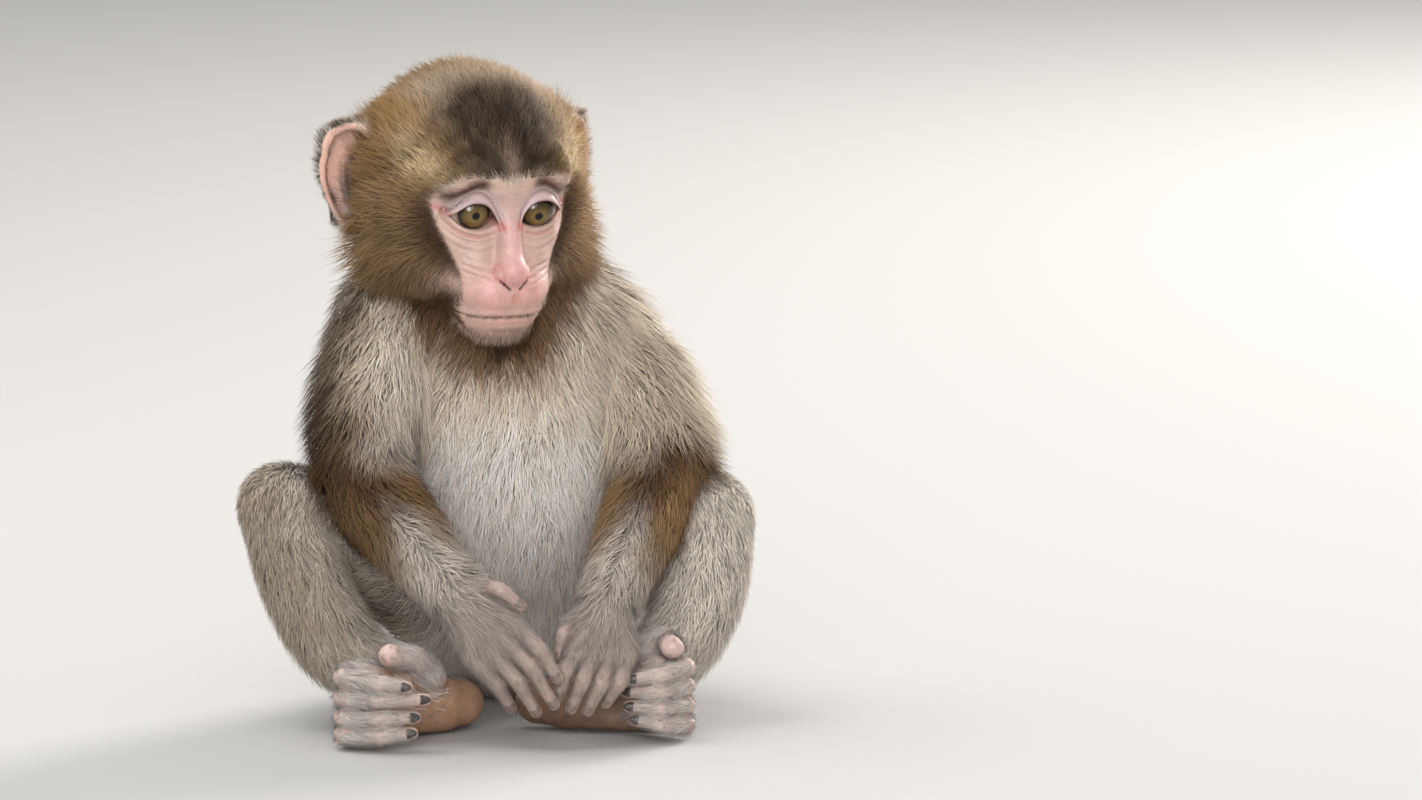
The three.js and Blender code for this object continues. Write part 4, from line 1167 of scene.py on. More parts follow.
def coat_at(p, normal, room):
    """Colour, flow, coat row and nearest part at places on the skin."""
    q = to_head(p)
    distances = np.full((len(MASSES), len(p)), BEYOND_REACH)
    for i, mass in enumerate(MASSES):
        near = ((p > mass.low) & (p < mass.high)).all(1)
        if near.any():
            distances[i, near] = mass.distance(p[near])[0]
    shares = np.exp(-(distances - distances.min(0)) / SHARING)
    shares[shares < LEAST_SHARE] = 0
    shares /= shares.sum(0)
    colour, ways, row = np.zeros((len(p), 3)), np.zeros((len(p), 3)), np.zeros((len(p), 4))
    for mass, share in zip(MASSES, shares):
        near = share > 0
        if near.any():
            parts = coat_of(mass, p[near], normal[near])
            for total, part in zip((colour, ways, row), parts):
                total[near] += part * share[near, None]
    nearest = distances.argmin(0)
    furry = ~np.array([mass.part.startswith(BARE_PARTS) for mass in MASSES])[nearest]
    on_head, on_trunk = nearest == MASSES.index(head), nearest == MASSES.index(trunk)
    side, outside, from_middle = np.abs(q[:, 0]), outside_face(q), np.abs(p[:, 0] - BODY_MIDDLE)
    jowl = bell(q[:, 2] + 30, 20) * smooth_step(20, 30, side) * on_head
    mantle = smooth_step(146, 166, p[:, 2]) * smooth_step(14, 30, from_middle) * on_trunk
    outwards = smooth_step(42, 56, from_middle) * smooth_step(0, 0.6, normal[:, 0] * np.sign(p[:, 0]))
    sleeve = bell(p[:, 2] - 138, 26) * outwards * np.where(p[:, 0] > 0, *SLEEVES) * ~on_head
    depth = np.clip(room, 0.3, MOST_DEPTH) * (1 + 0.12 * on_head) + JOWL * jowl + MANTLE * mantle + sleeve
    row[:, 1] = np.where(furry, row[:, 1] + (depth - row[:, 1]) * smooth_step(0, 5, outside), row[:, 1])
    row[:, 0] = np.where(furry, row[:, 1] / np.where(on_head, *LIE_FLAT) + 1.5, row[:, 0])
    row[:, 3] *= smooth_step(-1.2, 0.6, outside + (side > 36) * 9)
    ways = unit(ways)
    ways = unit(ways - normal * (ways * normal).sum(1)[:, None])
    return colour, ways, row, nearest


# ---------------------------------------------------------------- colours of the bare skin


def brow_line(side):
    """Height of the dark streak of short hair over each eye."""
    return np.interp(side, (7, 11, 14, 17, 20, 23, 29), (4.4, 5.6, 5.4, 4.0, 1.6, -1.2, -5))


def wing_distance(q):
    return ball_distance(np.abs(q) * (1, 1, -1), *NOSE_WING)


def nostril_distance(q):
    paired = np.abs(q) * (1, 1, -1)
    return np.minimum(
        path_distance(paired, NOSTRIL, NOSTRIL_RADIUS), path_distance(paired, NOSTRIL_INSIDE, NOSTRIL_WIDTH)
    )


def face_colour(q):
    side, forward, up = np.abs(q[:, 0]), q[:, 1], q[:, 2]
    along, rise = opening_places(side, up)
    edge = opening_distance(side, up)
    spread = waves(q, 9, 3)
    near_eye = smooth_step(9, 3, edge)
    lower_lid = smooth_step(0.5, -1.5, rise)
    over_mouth = up - mouth_line(side)
    # Painted shade: a darker red line in the crease around each nose wing.
    wing_crease_shade = bell(wing_distance(q) - 0.3, 0.45) * smooth_step(2.5, 4, side)
    colour = layered(
        plain("pink", len(q)),
        ("rose", bell(side, 5) * smooth_step(-2, -10, up) * smooth_step(-34, -28, up) * 0.55),
        ("nose", bell(np.hypot(side, up + 28), 6) * smooth_step(40, 45, forward) * 0.8),
        ("muzzle", bell(np.hypot(side - 8, (up + 37) * 1.2), 9) * 0.9),
        ("rose", bell(np.hypot(side - 7, up + 34), 5) * 0.6 * smooth_step(-0.6, 0.6, spread)),
        ("lid", near_eye * smooth_step(0, 3, rise) * smooth_step(16, 12, rise) * 0.9),
        ("lid", bell(side, 6) * smooth_step(-4, 2, up) * 0.3),
        ("red", bell(np.hypot(along - 12.2, (rise - 0.8) * 2.2), 3.4) * 0.75),
        ("red", bell(np.hypot(along + 10.0, (rise + 0.5) * 1.2), 2.2) * 0.85),
        ("red", wing_crease_shade * smooth_step(-34, -31, up) * 0.45),
        ("brow_skin", smooth_step(2, 6, up - 0.004 * side**2) * 0.7),
        ("brow_dark", bell(up - brow_line(side), 2.5) * smooth_step(7, 12, side) * smooth_step(28, 22, side)),
        # Painted shade darkens the fold of the upper lid and the upper edge of the eye's opening.
        ("crease_shade", bell(rise - lid_crease(along), 0.45) * smooth_step(11, 7, np.abs(along)) * 0.45),
        ("crease_shade", bell(edge - 0.1, 0.55) * smooth_step(-0.5, 1.5, rise) * 0.95),
        ("lid_rim", bell(edge - 0.9, 0.6) * lower_lid * 0.45),
        ("red", bell(edge - 2.2, 0.4) * lower_lid * 0.35),
        ("lip", bell(over_mouth + 2.2, 2.4) * smooth_step(14, 9, side) * 0.8),
        ("chin", smooth_step(-50, -55, up) * 0.8),
        # Painted shade: a darker line in the groove between the lips.
        ("mouth", bell(over_mouth, 0.5) * smooth_step(MOUTH_HALF, MOUTH_HALF - 7, side) * 0.3),
        ("under_nose", bell(side, 2.4) * bell(up + 37.5, 3) * smooth_step(-0.4, 0.5, spread) * 0.6),
        # The nostrils are painted dark as the shade inside them.
        ("nostril_shade", smooth_step(0.35, -0.15, nostril_distance(q)) * smooth_step(40, 41, forward)),
    )
    return colour * (1 + 0.05 * spread)[:, None]


def hand_colour(pose, p, normal):
    palm = smooth_step(0.1, -0.4, normal @ back_of_hand(pose))
    return layered(plain("hand", len(p)), ("hand_crease", palm * 0.5 + 0.25 * waves(p, 3.5, 12) ** 2))


def foot_colour(pose, kind, p, normal):
    bare = 1 - foot_hair(pose, kind, normal)
    back = smooth_step(-45, -75, p[:, 1])
    # The left foot's sole, under the hands, is painted darker as shade; the right one keeps the plain sole
    # colour.
    dark = "sole_shaded" if pose["sense"] > 0 else "sole"
    roots = np.array(pose["toe_roots"], float)
    behind_toes = smooth_step(2, 12, (p - roots) @ unit(np.array(pose["heel"]) - roots))
    bare = bare * (behind_toes if kind == "foot" else 0.6)
    return layered(
        plain("foot", len(p)), (dark, bare * 0.85), ("sole", bare * bell(waves(p, 7, 13), 0.7) * 0.5),
        ("hand_crease", 0.35 * waves(p, 3, 14) ** 2 * back),
    )


def skin_colours(p, normal, coat, nearest):
    """Colour of the skin, and how bare it is."""
    q = to_head(p)
    bare_face = smooth_step(1.5, -1.0, outside_face(q))
    under = coat * 0.75
    bare = np.zeros(len(p))
    colour = under.copy()
    for i, mass in enumerate(MASSES):
        here = nearest == i
        if not here.any():
            continue
        kind = limb_kind(mass.part) if isinstance(mass, Tube) else None
        if isinstance(mass, Ear):
            r = mass.places(p[here])
            facing = normal[here] @ mass.axes[1]
            # Painted shade darkens the hollow of the ear, towards its lower inner part.
            from_hollow = np.hypot((r[:, 0] + 2.5) / EAR["wide"], (r[:, 2] + 5) / EAR["tall"])
            hollow = smooth_step(1.0, 0.4, from_hollow) * smooth_step(-0.5, 0.1, facing)
            back = smooth_step(0.0, -0.6, facing)
            colour[here] = layered(plain("ear", here.sum()), ("ear_inner", hollow), ("cheek_low", back * 0.8))
            bare[here] = smooth_step(-14, -10, r[:, 0])
        elif kind in ("hand", "finger"):
            bare[here] = 1 if kind == "finger" else smooth_step(0.2, 0.9, mass.measure(p[here])[1])
            colour[here] = hand_colour(pose_of(mass), p[here], normal[here])
        elif kind in ("foot", "toe"):
            bare[here] = 1
            colour[here] = foot_colour(pose_of(mass), kind, p[here], normal[here])
    near_face = bare_face > 0
    colour[near_face] = mix(colour[near_face], face_colour(q[near_face]), bare_face[near_face])
    bare = np.maximum(bare, bare_face)
    return mix(under, colour, bare), bare


# ---------------------------------------------------------------- materials


class Shading:
    """A new material, with short ways to add nodes to it."""

    def __init__(self, name, constants):
        self.material = bpy.data.materials.new(name)
        self.material.use_nodes = True
        self.tree = self.material.node_tree
        self.shader = self.tree.nodes["Principled BSDF"]
        for socket, value in constants.items():
            self.shader.inputs[socket].default_value = value

    def add(self, kind, output, links, **values):
        """Adds a node, sets and links it, and gives back one of its outputs."""
        node = self.tree.nodes.new(kind)
        for key, value in values.items():
            if key in node.inputs:
                node.inputs[key].default_value = value
            else:
                setattr(node, key, value)
        for socket, source in links.items():
            self.tree.links.new(source, node.inputs[socket])
        return node.outputs[output]

    def feed(self, **sources):
        """Links outputs to the shader's sockets, whose names are written with _ for a space."""
        for socket, source in sources.items():
            self.tree.links.new(source, self.shader.inputs[socket.replace("_", " ")])

    def attribute(self, name, output="Color"):
        return self.add("ShaderNodeAttribute", output, {}, attribute_name=name)

    def places(self):
        return self.add("ShaderNodeTexCoord", "Object", {})

    def noise(self, scale, detail=3.0, places=None):
        links = {"Vector": places or self.places()}
        return self.add("ShaderNodeTexNoise", "Fac", links, Scale=scale, Detail=detail)

    def ranged(self, value, low, high):
        return self.add("ShaderNodeMapRange", "Result", {"Value": value}, **{"To Min": low, "To Max": high})

    def scaled(self, colour, factor):
        return self.add("ShaderNodeVectorMath", "Vector", {0: colour, 1: factor}, operation="MULTIPLY")

    def summed(self, a, b):
        return self.add("ShaderNodeMath", "Value", {0: a, 1: b}, operation="ADD")

    def bump(self, height, strength, distance, **under):
        links = {"Height": height, **under}
        return self.add("ShaderNodeBump", "Normal", links, Strength=strength, Distance=distance)


def coat_material(name, roughness, sheen):
    """Hair: its colour comes with each tuft, and fine noise varies its colour, gloss and surface."""
    hair = Shading(name, {"Specular IOR Level": 0.05, "Sheen Weight": sheen, "Sheen Roughness": 0.5})
    fine = hair.noise(900)
    hair.feed(
        Base_Color=hair.scaled(hair.attribute("coat_colour"), hair.ranged(fine, 0.86, 1.14)),
        Roughness=hair.ranged(fine, roughness - 0.08, roughness + 0.1),
        Normal=hair.bump(hair.noise(2600), 0.25, 0.0001),
    )
    return hair.material


COAT_LOOKS = (  # name, roughness and sheen
    ("coat_crown", 0.6, 0.0), ("coat_back", 0.62, 0.0), ("coat_belly", 0.65, 0.05), ("coat_arm", 0.6, 0.0),
    ("coat_leg", 0.62, 0.0), ("short_hair", 0.6, 0.1),
)


def skin_material():
    """Bare skin with pores and fine lines; under the coat it is matt."""
    skin = Shading("skin", {
        "Subsurface Weight": 0.12, "Subsurface Radius": (1.0, 0.4, 0.25), "Subsurface Scale": 0.0015,
        "Specular IOR Level": 0.4,
    })
    blotches, mottle = skin.noise(130, 4.0), skin.noise(620, 4.0)
    varied = skin.scaled(skin.attribute("skin_colour"), skin.ranged(blotches, 0.88, 1.12))
    gloss = skin.ranged(skin.attribute("bare", "Fac"), 0.95, 0.5)
    places = {"Vector": skin.places()}
    lines = skin.add("ShaderNodeTexVoronoi", "Distance", places, feature="DISTANCE_TO_EDGE", Scale=850.0)
    fine = skin.bump(skin.summed(lines, skin.noise(1500)), 0.35, 0.00025)
    skin.feed(
        Base_Color=skin.scaled(varied, skin.ranged(mottle, 0.84, 1.16)),
        Roughness=skin.summed(gloss, skin.ranged(mottle, -0.08, 0.08)),
        Normal=skin.bump(mottle, 0.3, 0.0006, Normal=fine),
    )
    return skin.material


def eye_material():
    eye = Shading("eye", {
        "Coat Weight": 0.85, "Coat Roughness": 0.02, "Coat IOR": 1.36, "Specular IOR Level": 0.05,
    })
    flecks = eye.ranged(eye.noise(1.0, 4.0, eye.attribute("eye_places", "Vector")), 0.7, 1.3)
    eye.feed(
        Base_Color=eye.scaled(eye.attribute("eye_colour"), flecks),
        Roughness=eye.ranged(eye.noise(500), 0.08, 0.16),
        Normal=eye.bump(eye.noise(700), 0.05, 0.0001),
    )
    return eye.material


def nail_material(name, dark, pale):
    nail = Shading(name, {})
    streaks = nail.noise(420)
    colour = nail.add("ShaderNodeValToRGB", "Color", {"Fac": streaks})
    for stop, code in zip(colour.node.color_ramp.elements, (dark, pale)):
        stop.color = (*linear(code), 1)
    nail.feed(
        Base_Color=colour,
        Roughness=nail.ranged(streaks, 0.28, 0.46),
        Normal=nail.bump(nail.noise(1400), 0.2, 0.0001),
    )
    return nail.material


# ---------------------------------------------------------------- eyes and nails

CORNEA = math.radians(48)  # angle from the middle of the eye's front to the edge of the cornea
CORNEA_BULGE = 0.8
IRIS = math.radians(45.5)
PUPIL = math.radians(9.5)
GAZE = {"right": (-0.9, 8.6, 0.1), "left": (-1.1, 8.6, -1.2)}
EYE_RINGS, EYE_SEGMENTS = 60, 96


def eye_colours(angle, around):
    """Colour of the eyeball by the angle from the middle of its front, with painted shade under the upper lid
    and painted light on the lower iris.
    """
    share = angle / IRIS
    wobble = 0.03 * np.sin(5 * around) + 0.02 * np.sin(11 * around + 1)
    edge = PUPIL / IRIS
    colour = layered(
        plain("eye_white", len(angle)),
        ("white_edge", smooth_step(1.5, 1.0, share)),
        ("iris_rim", smooth_step(1.08, 0.98, share)),
        ("iris_outer", smooth_step(0.93, 0.8, share + wobble)),
        ("iris", smooth_step(0.82, 0.62, share + wobble)),
        ("iris_inner", smooth_step(0.6, 0.3, share + wobble)),
        ("pupil", smooth_step(edge + 0.025, edge - 0.02, share)),
    )
    lid_shadow = 1 - 0.72 * smooth_step(-0.1, 0.75, np.sin(around) * np.minimum(share, 1))
    # The lower part of the iris is lightened as painted light.
    return colour * (lid_shadow + 0.25 * smooth_step(0.1, 0.8, -np.sin(around) * share))[:, None]


def make_eye(side, material):
    sense = SIDES[side]["sense"]
    front = unit(np.array(GAZE[side], float))
    across = unit(np.cross(front, (0, 0, 1)))
    up = np.cross(across, front)
    share = np.linspace(0, 1, EYE_RINGS + 1)[1:-1]
    angle = np.concatenate([[0], math.pi * share**1.35, [math.pi]])
    around = np.arange(EYE_SEGMENTS) * 2 * math.pi / EYE_SEGMENTS
    ring_angle = np.repeat(angle[1:-1], EYE_SEGMENTS)
    ring_around = np.tile(around, len(angle) - 2)
    all_angle = np.concatenate([[0], ring_angle, [math.pi]])
    all_around = np.concatenate([[0], ring_around, [0]])
    radius = EYE_RADIUS + CORNEA_BULGE * np.maximum(1 - (all_angle / CORNEA) ** 2, 0) ** 1.5
    outwards = np.cos(all_around)[:, None] * across + np.sin(all_around)[:, None] * up
    way = np.cos(all_angle)[:, None] * front + np.sin(all_angle)[:, None] * outwards
    q = EYE * (sense, 1, 1) + radius[:, None] * way
    faces, rings, n = [], len(angle) - 2, EYE_SEGMENTS
    for j in range(n):
        k = (j + 1) % n
        faces.append((0, 1 + k, 1 + j))
        faces.append((len(q) - 1, 1 + (rings - 1) * n + j, 1 + (rings - 1) * n + k))
    for i in range(rings - 1):
        for j in range(n):
            a, b = 1 + i * n + j, 1 + i * n + (j + 1) % n
            faces += [(a, b, b + n), (a, b + n, a + n)]
    eye = mesh_from(f"eyeball_{side}", from_head(q), np.array(faces))
    add_attribute(eye.data, "eye_colour", eye_colours(all_angle, all_around))
    fibre = np.stack([np.cos(all_around) * 9, np.sin(all_around) * 9, all_angle * 3.2], axis=1)
    add_attribute(eye.data, "eye_places", fibre)
    eye.data.materials.append(material)
    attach(eye, BODY)
    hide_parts(f"eye_{side}")


# Nails: radius of the digit's end, the nail's length, and half its spread around the digit in degrees.
FINGER_NAIL, THUMB_NAIL = (2.3, 3.3, 46), (2.35, 3.4, 46)
TOE_NAIL, BIG_TOE_NAIL = (2.9, 3.2, 36), (4.7, 3.7, 34)
NAIL_OUTSIDE, NAIL_INSIDE = 0.38, 0.05  # how far the nail's two faces lie over the digit's end
NAIL_STEPS = 9  # points along and across it


def nail_mesh(name, bend, tip, top, measures, material):
    """A curved plate over a digit's end, thicker along its middle."""
    radius, size, spread = measures
    way, top = unit(tip - bend), np.asarray(top, float)
    top = unit(top - way * (top @ way))
    across = np.cross(way, top)
    steps = turns = NAIL_STEPS
    points = []
    for lift in (NAIL_OUTSIDE, NAIL_INSIDE):
        for i in range(steps):
            u = i / (steps - 1)
            half = spread * (1 - 0.35 * u**3) * (0.55 + 0.45 * math.sin(math.pi * min(u + 0.28, 0.5)))
            for j in range(turns):
                angle = math.radians(half * (2 * j / (turns - 1) - 1))
                rounded = 1 - (2 * j / (turns - 1) - 1) ** 2
                along = size * (u - 0.62) + 0.9 * u * rounded - 0.5
                reach = radius + lift * (1 - 0.35 * u) - 0.25 * u * u
                sideways, upwards = across * reach * math.sin(angle), top * reach * math.cos(angle)
                points.append(tip + way * along + sideways + upwards)
    faces, layer = [], steps * turns
    for i in range(steps - 1):
        for j in range(turns - 1):
            a = i * turns + j
            b = a + turns
            faces += [(a, a + 1, b + 1), (a, b + 1, b)]
            faces += [(layer + a, layer + b + 1, layer + a + 1), (layer + a, layer + b, layer + b + 1)]
    edge = [*range(turns), *[i * turns + turns - 1 for i in range(1, steps)]]
    edge += [*range(layer - 2, layer - turns - 1, -1), *[i * turns for i in range(steps - 2, 0, -1)]]
    for a, b in zip(edge, edge[1:] + edge[:1]):
        faces += [(b, a, layer + a), (b, layer + a, layer + b)]
    piece = mesh_from(name, np.array(points), np.array(faces))
    piece.data.materials.append(material)
    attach(piece, BODY)


def make_nails():
    material = nail_material("nail_hand", "5d4d47", "95827a")
    dark = nail_material("nail_foot", "1e1716", "4e423e")
    for side, pose in SIDES.items():
        for i, name in enumerate(DIGITS):
            bend, tip = np.array(pose["fingers"][i], float)
            top = back_of_hand(pose) + unit(tip - bend) * 0.2
            nail_mesh(f"nail_{name}_{side}", bend, tip, top, FINGER_NAIL, material)
        _, bend, tip = np.array(pose["thumb"], float)
        nail_mesh(f"nail_thumb_{side}", bend, tip, (0, -1, 0.6), THUMB_NAIL, material)
        for i, name in enumerate(TOES):
            *_, bend, tip = np.array(toe_points(pose, i), float)
            nail_mesh(f"nail_toe_{name}_{side}", bend, tip, (0, -1, 0.15), TOE_NAIL, dark)
        _, bend, tip = np.array(pose["big_toe"], float)
        nail_mesh(f"nail_toe_big_{side}", bend, tip, (0, 1, 0.3), BIG_TOE_NAIL, dark)


# ---------------------------------------------------------------- tufts

# A long tuft is a spike of three sides with a bend in the middle, and a short one is straight. Each has its
# faces, and the places of its points in its patch of the unwrapped skin, of half breadth 1.
LONG_TUFT = (
    np.array([
        (0, 1, 2), (0, 3, 4), (0, 4, 1), (1, 4, 5), (1, 5, 2), (2, 5, 3), (2, 3, 0),
        (3, 6, 4), (4, 6, 5), (5, 6, 3),
    ]),
    np.array([(-1, -1), (0, -0.7), (1, -1), (-0.8, 0), (0, 0.15), (0.8, 0), (0, 1)]),
)
SHORT_TUFT = (
    np.array([(0, 1, 2), (0, 3, 1), (1, 3, 2), (2, 3, 0)]),
    np.array([(-1, -1), (0, -0.5), (1, -1), (0, 1)]),
)
ROOT_LEVEL, MIDDLE_LEVEL, TIP_LEVEL = 0.7, 0.92, 1.1  # how light a tuft is along its length
PATCH = 0.0015  # half breadth of a tuft's patch in the unwrapped skin
TUFTS_IN_PIECE = 19000
FEWEST_TUFTS = 8  # that make a piece
TUFTS_IN_CLUMP = 11
CLUMP_REACH = 9
COAT_SHARE, QUICK_SHARE = 0.91, 0.3  # of the tufts that the coat rows ask for
LENGTHS, DEPTHS, WIDTHS = (0.72, 1.2), (0.7, 1.05), (0.7, 1.3)  # least and most of what the coat rows say
STRAY_SHARE = 0.03  # of the tufts, which are thinner and stand out
STRAY_DEPTH, STRAY_WIDTH = 1.25, 0.6
LIGHT_SHARE, DARK_SHARE = 0.1, 0.1  # of the tufts, which are lighter or darker than the rest
ROOT_DEPTH = 0.4  # how far under the skin a tuft starts
LOWEST_HAIR = 0.3  # height over the floor
COAT_SEED, FACE_SEED = 7, 19


def at_roots(values, corners, weights):
    return (values[corners] * weights[..., None]).sum(1)


def sample_roots(points, faces, density, random):
    """Places on the skin: the corners of their faces and the weights of those."""
    a, b, c = (points[faces[:, i]] for i in range(3))
    area = np.linalg.norm(np.cross(b - a, c - a), axis=1) / 2
    expected = area * density[faces].mean(1)
    which = np.repeat(np.arange(len(faces)), np.floor(expected + random.random(len(faces))).astype(int))
    r, s = np.sqrt(random.random(len(which))), random.random(len(which))
    return faces[which], np.stack([1 - r, r * (1 - s), r * s], axis=1)


def brought_to_height(p, height, most):
    """Moves places along the slope of the skin's distance so that they lie at that height over it."""
    short = height - skin_distance(p, False)
    way = slope(p, 0.4, False)
    steep = np.linalg.norm(way, axis=1, keepdims=True)
    way = np.where(steep > 0.5, way / np.maximum(steep, 0.5), 0)
    return p + way * np.clip(short, -most, most / 3)[:, None]


def clumped(roots, middles, tips, random):
    """Draws tufts together in small locks."""
    leaders = random.random(len(roots)) < 1 / TUFTS_IN_CLUMP
    chosen = np.nonzero(leaders)[0]
    if len(chosen) < 3:
        return middles, tips
    tree = KDTree(len(chosen))
    for i, place in zip(chosen, roots[chosen]):
        tree.insert(place, i)
    tree.balance()
    leader = np.array([tree.find(place)[1] for place in roots])
    pull = random.uniform(0.05, 0.42, len(roots)) * (0.6 + 0.4 * waves(roots, 30, 41))
    pull = pull[:, None].clip(0, 0.85)
    near = np.linalg.norm(tips[leader] - tips, axis=1) < CLUMP_REACH
    pull[~near] = 0
    return middles + (middles[leader] - middles) * pull * 0.35, tips + (tips[leader] - tips) * pull


def tuft_paths(roots, normals, ways, row, random):
    """Middle and tip of each tuft, its sideways direction and its width."""
    count = len(roots)
    length, depth, width = (row[:, i].copy() for i in (0, 1, 2))
    stray = random.random(count) < STRAY_SHARE
    length *= random.uniform(*LENGTHS, count)
    depth *= random.uniform(*DEPTHS, count) * np.where(stray, STRAY_DEPTH, 1)
    width *= random.uniform(*WIDTHS, count) * np.where(stray, STRAY_WIDTH, 1)
    side = np.cross(normals, ways)
    swing = random.normal(0, 0.17, count) + 0.24 * waves(roots, 17, 21)
    ways = ways * np.cos(swing)[:, None] + side * np.sin(swing)[:, None]
    side = np.cross(normals, ways)
    lie = np.arcsin(np.clip(depth / length, 0, 0.9))
    bend = side * (0.07 * length * waves(roots, 8, 22) + 0.04 * length * random.normal(0, 1, count))[:, None]

    def step(reach, angle):
        return (reach * np.cos(angle))[:, None] * ways + (reach * np.sin(angle))[:, None] * normals

    middles = roots + step(0.45 * length, lie + 0.22) + bend
    tips = middles + step(0.55 * length, lie - 0.18) - bend * 1.4
    middles = brought_to_height(middles, 0.6 * depth, 9)
    tips = brought_to_height(tips, depth, 12)
    middles, tips = clumped(roots, middles, tips, random)
    reach = tips - roots
    far = np.linalg.norm(reach, axis=1)
    tips = roots + reach * np.minimum(1, 1.15 * length / np.maximum(far, 1e-6))[:, None]
    return middles, tips, side, width


def unwrapped(places, flat):
    """Places on a cylinder around the piece's longest axis, or on a ball where it is round, from 0 to 1."""
    offset = places - places.mean(0)
    _, ways = np.linalg.eigh(offset.T @ offset)
    along, a, b = offset @ ways[:, 2], offset @ ways[:, 1], offset @ ways[:, 0]
    rise = along if flat else np.arctan2(along, np.hypot(a, b))
    uv = np.stack([np.arctan2(b, a), rise], axis=1)
    low, high = uv.min(0), uv.max(0)
    return 0.01 + 0.98 * (uv - low) / np.maximum(high - low, 1e-6)


def tuft_piece(name, region, material, roots, normals, ways, row, colours, random):
    """One mesh of tufts: each a slim closed spike of three sides."""
    slot, flat, short = region
    middles, tips, side, width = tuft_paths(roots, normals, ways, row, random)
    base = roots - normals * ROOT_DEPTH
    half = width[:, None] * 0.54
    rings = []
    for place, share in ((base, 1.0), (middles, 0.85))[: 1 if short else 2]:
        sideways = side * half * share
        rings += [place - sideways, place + normals * half * 0.7 * share, place + sideways]
    points = np.stack([*rings, tips], axis=1)
    points[..., 2] = np.maximum(points[..., 2], LOWEST_HAIR)
    count, corners = points.shape[:2]
    shape, patch = SHORT_TUFT if short else LONG_TUFT
    faces = (shape[None] + np.arange(count)[:, None, None] * corners).reshape(-1, 3)
    piece = mesh_from(name, points.reshape(-1, 3), faces)
    shade = 1 + 0.13 * random.normal(0, 1, count) + 0.1 * waves(roots, 6, 51)
    light = np.where(random.random(count) < LIGHT_SHARE, 1.35, 1)
    shade *= light * np.where(random.random(count) < DARK_SHARE, 0.62, 1)
    levels = np.array([ROOT_LEVEL] * 3 + [MIDDLE_LEVEL] * (corners - 4) + [TIP_LEVEL])
    painted = colours[:, None] * np.clip(shade, 0.35, 1.8)[:, None, None] * levels[None, :, None]
    add_attribute(piece.data, "coat_colour", np.clip(painted, 0, 0.95).reshape(-1, 3))
    ring_normals = [normals - side * 0.7, normals, normals + side * 0.7]
    facing = np.stack(ring_normals * ((corners - 1) // 3) + [normals + unit(tips - base) * 0.4], axis=1)
    set_normals(piece.data, unit(facing).reshape(-1, 3))
    uv = unwrapped(roots, flat)[:, None] + patch[None] * PATCH
    layer = piece.data.uv_layers.new(name="OFBake")
    layer.uv.foreach_set("vector", uv.reshape(-1, 2)[faces.ravel()].astype(np.float32).ravel())
    piece.data.materials.append(material)
    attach(piece, BODY)


def set_normals(mesh, normals):
    layer = mesh.attributes.new("custom_normal", "FLOAT_VECTOR", "POINT")
    layer.data.foreach_set("vector", normals.astype(np.float32).ravel())


REGIONS = {  # slot, whether the region is unwrapped as a cylinder, and whether its tufts are short
    "head": ("coat_crown", False, False), "ears": ("coat_crown", False, True),
    "face": ("coat_crown", False, True), "front": ("coat_belly", False, False),
    "back": ("coat_back", False, False), "tail": ("coat_back", True, False),
    "upper_arm": ("coat_arm", True, False), "forearm": ("coat_arm", True, False),
    "thigh": ("coat_leg", True, False), "shank": ("coat_leg", True, False),
    "hand": ("hand_skin", False, True), "foot": ("hand_skin", False, True),
}


def region_of(mass):
    if mass is head:
        return "head"
    if mass is trunk:
        return "trunk"
    if isinstance(mass, Ear):
        return "ears_" + mass.part[4:]
    kind = limb_kind(mass.part)
    kind = {"finger": "hand", "toe": "foot"}.get(kind, kind)
    return kind if kind == "tail" else kind + "_" + mass.part.split("_")[-1]


def make_coat(points, faces, normals, coat, materials):
    colour, ways, row, nearest = coat
    random = np.random.default_rng(COAT_SEED)
    share = COAT_SHARE
    corners, weights = sample_roots(points, faces, row[:, 3] * share, random)
    sampled = [at_roots(values, corners, weights) for values in (points, normals, ways, row, colour)]
    roots, root_normals, root_ways, rows, colours = sampled
    root_normals, root_ways = unit(root_normals), unit(root_ways)
    regions = np.array([region_of(mass) for mass in MASSES])[nearest[corners[:, 0]]]
    in_trunk = regions == "trunk"
    regions[in_trunk] = np.where(root_normals[in_trunk] @ FRONT > 0, "front", "back")
    for region in sorted(set(regions)):
        kind = REGIONS[region.replace("_left", "").replace("_right", "")]
        here = np.nonzero(regions == region)[0]
        if len(here) < FEWEST_TUFTS:
            continue
        offset = roots[here] - roots[here].mean(0)
        here = here[np.argsort(np.arctan2(offset[:, 1], offset[:, 0]), kind="stable")]
        parts = math.ceil(len(here) / TUFTS_IN_PIECE)
        for i, chunk in enumerate(np.array_split(here, parts)):
            name = f"coat_{region}" + (f"_{i + 1}" if parts > 1 else "")
            tuft_piece(
                name, kind, materials[kind[0]], roots[chunk], root_normals[chunk], root_ways[chunk],
                rows[chunk], colours[chunk], random,
            )


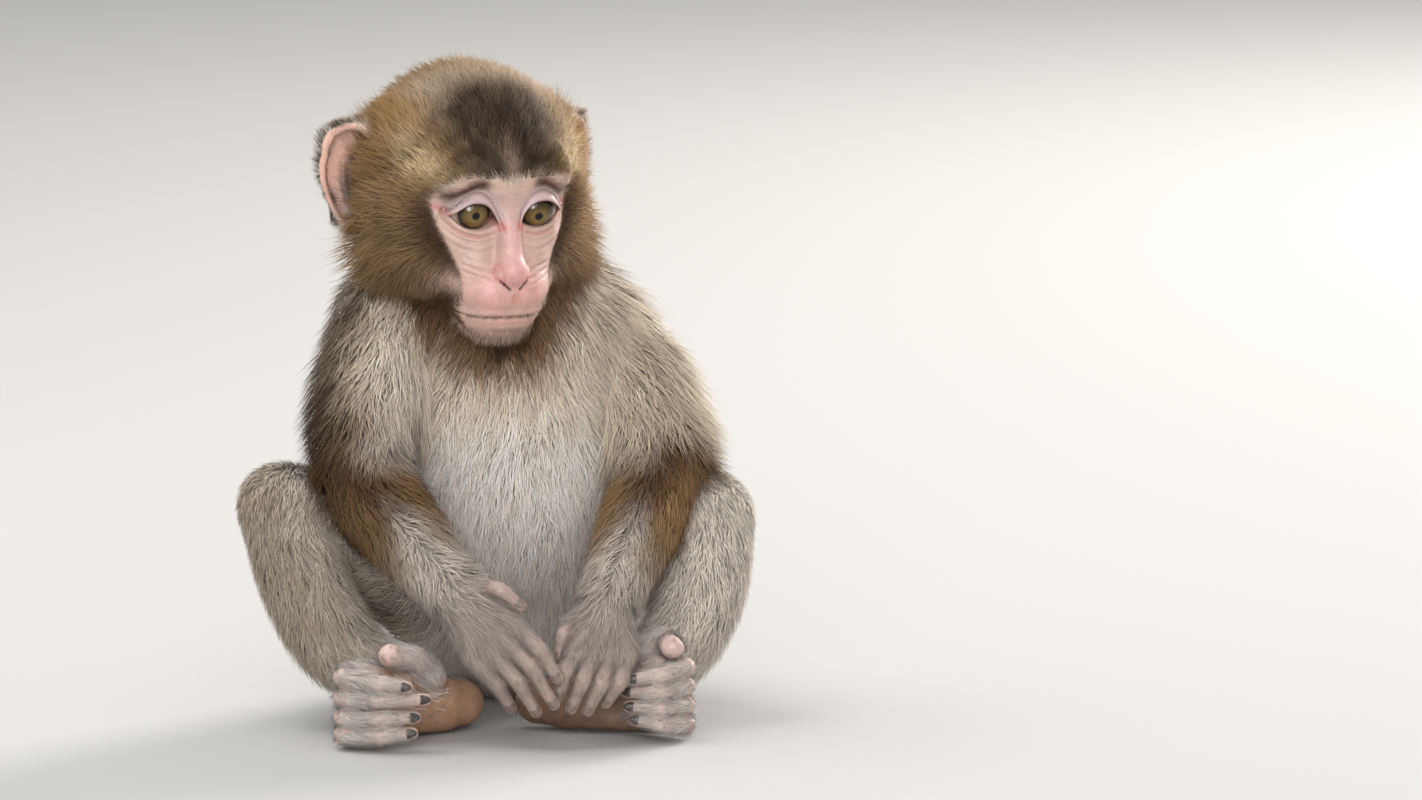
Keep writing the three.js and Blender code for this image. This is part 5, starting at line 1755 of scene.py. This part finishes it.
def face_hairs(points, faces, normals, material):
    """Whiskers, chin and brow hairs and the fine down of the bare face."""
    q = to_head(points)
    side, forward, up = np.abs(q[:, 0]), q[:, 1], q[:, 2]
    over_mouth, over_streak = up - mouth_line(side), up - brow_line(side)
    inside = smooth_step(1.5, -0.5, outside_face(q)) * smooth_step(8, 14, forward)
    inside = inside * (opening_distance(side, up) > 1.2)
    lips = bell(over_mouth, 1.6) * (side < 17)
    brow = smooth_step(-3.5, -0.5, over_streak)
    chin = smooth_step(-50, -54, up)
    lip = bell(up + 41, 3) * smooth_step(5, 9, side)
    fringe = bell(over_mouth - 2.2, 1.0) * (side < 16)
    nose = smooth_step(44, 46, forward)
    density = inside * (0.35 + 2.4 * brow + 1.2 * chin + 0.9 * lip)
    density = density * (1 - np.clip(lips * 1.5, 0, 1)) * (1 - nose) + 2.2 * fringe * inside
    length = 2.0 + 3.0 * brow + 6.5 * chin + 3.5 * lip * (1 - fringe) + 2.6 * fringe
    depth = 0.5 + 0.35 * brow + 3.2 * chin + 1.4 * lip
    width = 0.11 + 0.05 * brow + 0.07 * chin + 0.2 * fringe
    ways = np.stack([q[:, 0] * 0.8, np.full(len(q), -6.0), up * 0.6 + 8], axis=1)
    ways[:, 2] -= 30 * smooth_step(-34, -44, up)
    ways = unit(ways) @ HEAD_AXES
    ways = unit(ways - normals * (ways * normals).sum(1)[:, None])
    random = np.random.default_rng(FACE_SEED)
    corners, weights = sample_roots(points, faces, density, random)
    row = np.stack([length, depth, width, density], axis=1)
    streak = bell(over_streak + 0.6, 2.2) * smooth_step(6, 11, side) * smooth_step(28, 22, side)
    colour = layered(
        plain("down", len(points)), ("brow_dark", streak * 0.95), ("chin", chin * 0.3),
        ("lip_hair", fringe * (waves(q, 1.5, 62) > -0.2) * 0.9),
    )
    sampled = [at_roots(values, corners, weights) for values in (points, normals, ways, row, colour)]
    roots, out, flow, rows, colours = sampled
    tuft_piece("face_hairs", REGIONS["face"], material, roots, unit(out), unit(flow), rows, colours, random)


# ---------------------------------------------------------------- putting it together

make_camera()
make_lights()
make_floor()

skin_points, skin_faces = make_skin()
skin_normals = point_normals(skin_points, skin_faces)
room = coat_room(skin_points, skin_normals, skin_faces)
coat = coat_at(skin_points, skin_normals, room)
skin = mesh_from("skin", skin_points, skin_faces)
painted, bare = skin_colours(skin_points, skin_normals, coat[0], coat[3])
add_attribute(skin.data, "skin_colour", painted)
add_attribute(skin.data, "bare", bare)
skin.data.materials.append(skin_material())
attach(skin, BODY)
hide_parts(*[name for name in frame["nodes"] if not name.startswith("eye_")])

eyes = eye_material()
for side_name in SIDES:
    make_eye(side_name, eyes)
make_nails()

coats = {name: coat_material(name, roughness, sheen) for name, roughness, sheen in COAT_LOOKS}
coats["hand_skin"] = coats.pop("short_hair")
make_coat(skin_points, skin_faces, skin_normals, coat, coats)
face_hairs(skin_points, skin_faces, skin_normals, coats["coat_crown"])
